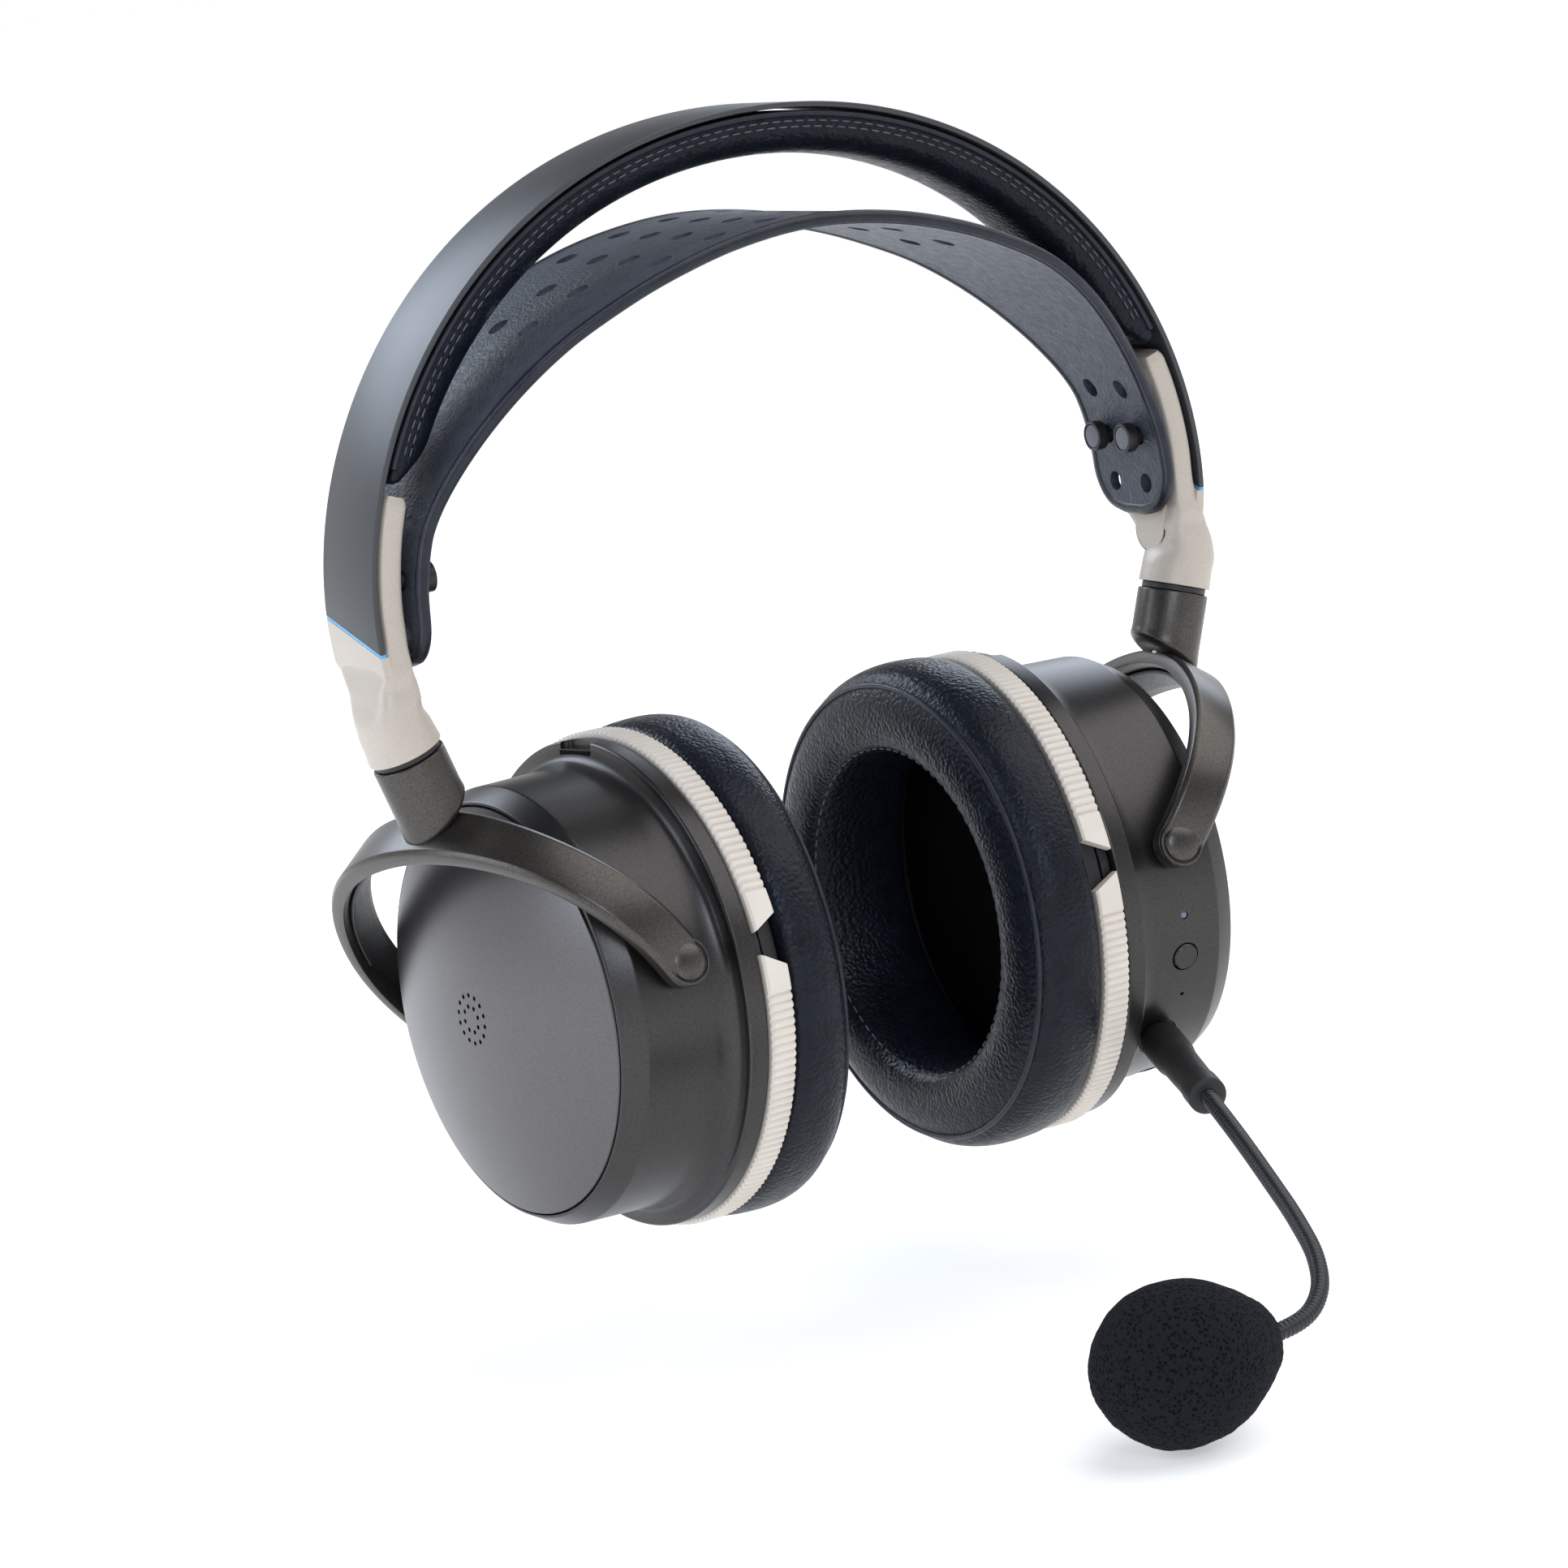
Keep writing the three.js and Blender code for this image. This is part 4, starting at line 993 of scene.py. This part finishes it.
def housing_profile():
    points = [(44.9, 44), (44.9, 51.0), (45.3, 51.2), (48.9, 51.2), (49.3, 50.8), (49.4, 49.8), (50.1, 47.4),
              (53.2, 46.3), (70, 45.85), (74.6, 43.3), (74.7, 42.75), (73.2, 42.6), (72, 42.4), (72, 40),
              (66, 40), (66, 43.7)]
    radii = [0, 0.3, 0.3, 0.2, 0.2, 0.3, 1.8, 1.8, 0.4, 0.3, 0.1, 0, 0, 0, 0, 0]
    return rounded_profile(points, radii)


def make_housing(word):
    side = SIDES[word]
    matrix = cup_matrix(word)
    body = f"cup_{word}"
    shell = lathe(f"shell_{word}", housing_profile(), LOOKS["gunmetal_shell"], body, matrix, side, 180,
                  True, sharp=25)
    cutters = []
    vent = skin(stadium_cutter(side, -1.36, 48.6, 49.4, 55, 12, 3))
    cutters.append(build("cutter", *vent, LOOKS["steel"], matrix=matrix))
    if side > 0:
        inverse = matrix.inverted()
        boom = (inverse @ (BOOM_EXIT - BOOM_AIM * 15), inverse @ (BOOM_EXIT + BOOM_AIM * 12),
                BOOT["base"] + 0.12)
        cutters.append(cutter_of([wall_rod(side, BUTTON, BUTTON["radius"] + 0.28), wall_rod(side, LIGHT),
                                  wall_rod(side, PIN_HOLE)], matrix))
        cutters.append(cutter_of([boom], matrix))
        port = (USB["angle"], USB["x"], 42, 52, USB["length"] + 0.6, USB["width"] + 0.6)
        wheel_slot = (WHEEL["angle"], WHEEL["x"], 42, 52, 18, 5.2)
        for opening in (port, wheel_slot):
            rings = stadium_cutter(side, *opening)
            cutters.append(build("cutter", *skin(rings), LOOKS["steel"], matrix=matrix))
    for cutter in cutters:
        subtract(shell, cutter)
    smooth(shell, 25)
    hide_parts(f"housing_{word}")


def make_plate(word):
    side = SIDES[word]
    matrix = cup_matrix(word)
    p = PLATE
    outer = []
    for i in range(25):
        share = 1 - i / 24
        outer.append((p["rim_x"] + 0.1 + p["rise"] * (1 - share * share), p["radius"] * share))
    profile = [(p["rim_x"] - p["thick"] + p["rise"], 0)]
    profile += [(p["rim_x"] - p["thick"] + p["rise"] * (1 - (i / 12) ** 2), p["radius"] * i / 12)
                for i in range(1, 13)]
    edge_x, edge_radius = outer[0]
    profile += [(p["rim_x"] - 0.25, p["radius"]), (edge_x, edge_radius - 0.12), *outer[1:]]
    # The plate takes the lighter copy of the shell paint, painted light for the light that falls on it.
    plate = lathe(f"dome_{word}", profile, EXTRA["dome"], f"cup_{word}", matrix, side, 160,
                  sharp=30)
    rods = []
    for count, ring, radius in ((14, 5.0, 0.5), (8, 2.7, 0.5)):
        for i in range(count):
            a = 2 * math.pi * i / count
            y, z = ring * math.cos(a), ring * math.sin(a)
            rods.append((Vector((side * 78, y, z)), Vector((side * 90, y, z)), radius))
    subtract(plate, cutter_of(rods, matrix))
    smooth(plate, 30)
    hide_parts(f"cover_plate_{word}")


def make_knurl(word, half):
    """A half ring with fine ribs, plain blocks at its ends and slanting end faces."""
    side = SIDES[word]
    start = 0 if half == "upper" else math.pi
    ribs = KNURL["ribs"]
    steps = ribs * 6
    block = KNURL["block"]
    rings = []
    for i in range(steps + 1):
        share = i / steps
        ring = []
        section = [(KNURL["in_x"], KNURL["inner"]), (KNURL["in_x"], KNURL["outer"] - 0.5),
                   (KNURL["in_x"] + 0.45, KNURL["outer"]), (KNURL["out_x"] - 0.45, KNURL["outer"]),
                   (KNURL["out_x"], KNURL["outer"] - 0.5), (KNURL["out_x"], KNURL["inner"])]
        for x, r in section:
            low, high = KNURL["gap"], math.pi - KNURL["gap"]
            from_end = min(share, 1 - share) * (high - low)
            slant = 0.06 * (KNURL["out_x"] - x) / (KNURL["out_x"] - KNURL["in_x"])
            slant *= max(0, 1 - from_end / block)
            angle = start + low + (high - low) * share + (slant if share < 0.5 else -slant)
            wave = 0.0 if from_end < block else (1 - abs(math.sin(math.pi * i / 6))) * KNURL["deep"]
            if r > KNURL["inner"] + 1:
                r -= wave
            ring.append((side * x, r * math.cos(angle), r * math.sin(angle)))
        rings.append(ring)
    ring = build(f"knurl_{half}_{word}", *skin(rings), LOOKS["ivory_plastic"], f"cup_{word}", "ivory_plastic",
                 sharp=40, matrix=cup_matrix(word))
    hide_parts(f"knurled_ring_{half}_{word}")


def make_pad_frame(word):
    side = SIDES[word]
    profile = rounded_profile([(38.9, 37.6), (38.9, 49.2), (42.2, 49.2), (42.2, 37.6)], [0, 0.4, 0.4, 0])
    ring = lathe(f"pad_mount_{word}", profile, LOOKS["black_plastic"], f"cup_{word}", cup_matrix(word), side,
                 120, True)
    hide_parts(f"pad_frame_{word}")


def pad_outline():
    """The ear pad's section as (outward distance, radius), and the places of its two seams."""
    base, face = PAD["base_x"], PAD["face_x"]
    corners = [(base, 37), (base, 49.5), (base - 2.2, 52.2), (base - 7, PAD["bulge"] - 0.4),
               (base - 12, PAD["bulge"] - 0.5), (base - 16, 51.6), (base - 18.2, 49.2),
               (face + 0.6, 45.6), (face + 0.1, 42), (face + 0.4, 38.6), (face + 2.1, 35.7),
               (base - 13, 34.2), (base - 6, 33.7), (base - 1.2, 34.4)]
    outer_seam, inner_seam = 6, 10
    return corners, outer_seam, inner_seam


def pad_shear(point):
    """Leans the pad's face so that it is deeper at the rear."""
    share = (PAD["base_x"] - abs(point.x)) / (PAD["base_x"] - PAD["face_x"])
    side = math.copysign(1, point.x)
    return Vector((point.x - side * PAD["slope"] * share * point.y / PAD["bulge"], point.y, point.z))


def pad_ring(side, x, radius, count=180):
    ring = []
    for i in range(count):
        a = 2 * math.pi * i / count
        ring.append(pad_shear(Vector((side * x, radius * math.cos(a), radius * math.sin(a)))))
    return ring


def make_ear_pad(word):
    side = SIDES[word]
    matrix = cup_matrix(word)
    outline, outer_seam, inner_seam = pad_outline()
    fine = []
    seams = []
    count = len(outline)
    for i in range(count):
        a, b, c, d = (Vector(outline[(i + k) % count]) for k in (-1, 0, 1, 2))
        if i in (outer_seam, inner_seam):
            seams.append(len(fine))
        for k in range(3):
            t = k / 3
            fine.append(0.5 * (2 * b + (c - a) * t + (2 * a - 5 * b + 4 * c - d) * t * t
                               + (3 * b - a - 3 * c + d) * t ** 3))
    points, faces = turned([tuple(p) for p in fine], 132, side, True)
    points = [pad_shear(Vector(p)) for p in points]
    pad = build(f"pad_{word}", points, faces, LOOKS["black_leather"], sharp=80)
    size = len(fine)
    held = {0, 1, 2, 3, size - 1, size - 2, *seams}
    puff(pad, [i * size + j for i in range(132) for j in held], 3.0, 1.2)
    for vertex in pad.data.vertices:
        p = vertex.co / MM
        turn = math.atan2(p.z, p.y)
        outward = math.hypot(p.y, p.z)
        wave = math.sin(turn * 23 + 1.3 * math.sin(turn * 5)) * math.sin(turn * 9 + 0.7)
        near = math.exp(-((outward - 37.5) / 3.2) ** 2)
        vertex.co += Vector((side * 0.07 * wave * near, 0, 0)) * MM
    pad.data.transform(Matrix.Scale(MM, 4) @ matrix @ Matrix.Scale(1 / MM, 4))
    subdivide(pad)
    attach(pad, f"cup_{word}")
    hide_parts(f"ear_pad_{word}")
    x, r = outline[outer_seam]
    tube(f"pad_piping_{word}", pad_ring(side, x - 0.05, r + 0.05), 0.62, EXTRA["rim"], f"cup_{word}", 8, True,
         matrix=matrix)
    x, r = outline[inner_seam]
    inner = pad_ring(side, x + 0.1, r - 0.1)
    stitches(f"pad_stitch_{word}", inner + [inner[0]], 2.8, 1.9, 0.22, EXTRA["thread"], f"cup_{word}", matrix)


def make_controls():
    matrix = cup_matrix("left")
    base = radial(1, BUTTON["angle"], BUTTON["x"], 0)
    out = radial(1, BUTTON["angle"], 0, 1)
    r = BUTTON["radius"]
    profile = rounded_profile([(43, 0), (43, r), (46.1, r), (46.5, r - 0.35), (46.35, 0)],
                              [0, 0, 0.2, 0.15, 0])
    button = lathe("button_face", profile, LOOKS["gunmetal_shell"], "power_button",
                   matrix @ along_axis(base, out), 1, 56)
    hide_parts("power_button")
    base = radial(1, LIGHT["angle"], LIGHT["x"], 0)
    lens = [(43, 0), (43, 0.85), (45.7, 0.85), (45.95, 0.5), (46.0, 0)]
    light = lathe("light_lens", lens, LOOKS["lamp_lens"], "cup_left",
                  matrix @ along_axis(base, radial(1, LIGHT["angle"], 0, 1)), 1, 24)
    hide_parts("status_light")
    place = radial(1, WHEEL["angle"], WHEEL["x"], HOUSING_WALL + WHEEL["proud"] - WHEEL["radius"])
    rings = []
    for i in range(44 * 4):
        a = 2 * math.pi * i / (44 * 4)
        outer = WHEEL["radius"] - (0.35 if i % 4 > 1 else 0)
        half = WHEEL["thick"] / 2
        rings.append([Vector((x, radius * math.cos(a), radius * math.sin(a))) for x, radius in
                      ((-half, 1.4), (-half, outer - 0.4), (-half + 0.4, outer), (half - 0.4, outer),
                       (half, outer - 0.4), (half, 1.4))])
    wheel = build("wheel_knurled", *skin(rings, closed=True), LOOKS["black_plastic"], "volume_wheel",
                  "black_plastic", sharp=40, matrix=matrix @ Matrix.Translation(place))
    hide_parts("volume_wheel")
    outer = stadium_cutter(1, USB["angle"], USB["x"], 39.8, 45.2, USB["length"], USB["width"])
    inner = stadium_cutter(1, USB["angle"], USB["x"], 39.8, 45.2, USB["length"] - 0.9, USB["width"] - 0.9)
    rings = [outer[0], outer[2], inner[2], inner[0]]
    port = build("port_shell", *skin(rings, closed=True), LOOKS["steel"], "cup_left", "steel", sharp=40,
                 matrix=matrix)
    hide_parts("charging_socket")
    tongue = stadium_cutter(1, USB["angle"], USB["x"], 39.8, 44.4, USB["length"] - 2.8, 0.8)
    build("port_tongue", *skin([tongue[0], tongue[2]]), LOOKS["black_plastic"], "cup_left", sharp=40,
          matrix=matrix)


# ---------- microphone ----------
def make_boom():
    b = BOOT
    matrix = along_axis(BOOM_EXIT, BOOM_AIM)
    start, end = b["start"], b["length"]
    corners = [(start, 0), (start, b["base"] - 0.3), (3, b["base"]), (11, b["base"]), (14, b["waist"] + 0.2),
               (end - 7, b["waist"]), (end - 5.5, b["tip"]), (end - 0.4, b["tip"]), (end, b["tip"] - 0.9),
               (end, 0)]
    profile = rounded_profile(corners, [0, 0.6, 0.5, 0.8, 1.5, 0.8, 0.6, 0.4, 0.3, 0])
    boot = lathe("boot_sleeve", profile, LOOKS["black_rubber"], "mic_boom", matrix, 1, 64)
    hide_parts("boom_boot")
    route = [tuple(BOOM_EXIT + BOOM_AIM * (end - 1)), *BOOM_ROUTE]
    length = sum((Vector(q) - Vector(p)).length for p, q in zip(route, route[1:]))
    ribs = int(length / HOSE["pitch"])
    rib_steps = 5
    points = spline(route, ribs * rib_steps + 1)
    dips = [0.5 - 0.5 * math.cos(2 * math.pi * i / rib_steps) for i in range(len(points))]
    radii = [HOSE["radius"] - HOSE["groove"] * dip for dip in dips]
    hose = build("hose_ribbed", *skin(tube_rings(points, radii, 14)), LOOKS["black_hose"], sharp=80)
    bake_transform(hose)
    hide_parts("gooseneck_lower", "gooseneck_upper")


def make_windscreen():
    tip = Vector(BOOM_ROUTE[-1])
    aim = (tip - Vector(BOOM_ROUTE[-2])).normalized()
    corners = [(-2.6, 2.6), (-3, 4.2), (-2, 6.2), (3, 10.5), (10, 14.5), (17, FOAM_RADIUS), (24, 14.8),
               (30, 10.9), (33.8, 5.6), (34.9, 0)]
    skin_line = [(p.x, p.y) for p in spline([(x, r, 0) for x, r in corners], 56)]
    profile = [(0, 2.6), *skin_line[:-1], (skin_line[-1][0], 0)]
    foam = lathe("foam_ball", profile, LOOKS["foam"], "mic_tip", along_axis(tip, aim), 1, 96,
                 sharp=80)
    for vertex in foam.data.vertices:
        q = vertex.co * 430
        lump = math.sin(q.x * 1.7) * math.sin(q.y * 1.3 + 1) * math.sin(q.z * 1.9 + 2)
        vertex.co += vertex.normal * (lump * 0.12 + random.uniform(-0.07, 0.07)) * MM
    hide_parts("windscreen")


# ---------- the whole headset ----------
def dress_cad_nodes():
    """Gives each CAD node that stays its finish from its material slot."""
    for row in frame["record"]["subparts"]:
        mesh = nodes[row["node"]].data
        mesh.materials.clear()
        mesh.materials.append(LOOKS[row["material_slot"]])
    for word in SIDES:
        mesh = nodes[f"driver_{word}"].data
        mesh.materials.clear()
        mesh.materials.append(EXTRA["mesh"])


def make_stage():
    bpy.ops.mesh.primitive_plane_add(size=120, location=(0, 0, cad_box[0].z - 0.001))
    floor = bpy.context.object
    floor.name = "floor"
    material = shader("floor_white", (0.8, 0.8, 0.8), 0.9, Emission_Color=(1, 1, 1, 1),
                      Emission_Strength=0.42)
    floor.data.materials.append(material)
    world = bpy.data.worlds.new("studio")
    world.use_nodes = True
    tree = world.node_tree
    place = tree.nodes.new("ShaderNodeTexCoord")
    split = tree.nodes.new("ShaderNodeSeparateXYZ")
    tree.links.new(place.outputs["Generated"], split.inputs["Vector"])
    glow = spread(tree, split.outputs["Z"], 0.06, 0.3, 1.0, 0.12)
    tree.links.new(glow, tree.nodes["Background"].inputs["Strength"])
    tree.nodes["Background"].inputs["Color"].default_value = (1, 1, 1, 1)
    bpy.context.scene.world = world
    bpy.context.scene.view_settings.view_transform = "Standard"


def add_light(name, place, size, power, aim=(0, 0, 0.03)):
    lamp = bpy.data.lights.new(name, "AREA")
    lamp.shape = "RECTANGLE"
    lamp.size, lamp.size_y = size
    lamp.energy = power
    lamp.color = LAMP_TINT
    obj = bpy.data.objects.new(name, lamp)
    obj.location = place
    obj.rotation_euler = (Vector(aim) - Vector(place)).to_track_quat("-Z", "Y").to_euler()
    bpy.context.scene.collection.objects.link(obj)


def make_lights():
    sky = bpy.data.lights.new("overhead", "SUN")
    sky.energy = SUN["strength"]
    sky.angle = math.radians(SUN["spread"])
    overhead = bpy.data.objects.new("overhead", sky)
    overhead.rotation_euler = [math.radians(turn) for turn in SUN["turn"]]
    bpy.context.scene.collection.objects.link(overhead)
    for name, (place, size, power) in LAMPS.items():
        add_light(name, place, size, power)


def make_camera():
    azimuth, elevation, roll = (math.radians(CAMERA[k]) for k in ("azimuth", "elevation", "roll"))
    back = Vector((math.sin(azimuth) * math.cos(elevation), -math.cos(azimuth) * math.cos(elevation),
                   math.sin(elevation)))
    level = Vector((math.cos(azimuth), math.sin(azimuth), 0))
    above = back.cross(level)
    right = level * math.cos(roll) + above * math.sin(roll)
    up = above * math.cos(roll) - level * math.sin(roll)
    data = bpy.data.cameras.new("camera")
    data.sensor_width = 36
    data.lens = CAMERA["lens"]
    data.clip_start, data.clip_end = 0.05, 20
    camera = bpy.data.objects.new("camera", data)
    place = (Vector(CAMERA["aim"]) + back * CAMERA["distance"]) * MM
    turn = Matrix((right, up, back)).transposed().to_4x4()
    camera.matrix_world = Matrix.Translation(place) @ turn
    bpy.context.scene.collection.objects.link(camera)
    bpy.context.scene.camera = camera


dress_cad_nodes()
make_stage()
make_lights()
make_camera()
make_band()
make_band_pad()
make_strap()
for side_word in SIDES:
    make_studs(side_word)
    make_cap(side_word)
    make_cap_face(side_word)
    make_side_plate(side_word)
    make_washer(side_word)
    make_yoke(side_word)
    make_pivots(side_word)
    make_housing(side_word)
    make_plate(side_word)
    make_knurl(side_word, "upper")
    make_knurl(side_word, "lower")
    make_pad_frame(side_word)
    make_ear_pad(side_word)
make_controls()
make_boom()
make_windscreen()
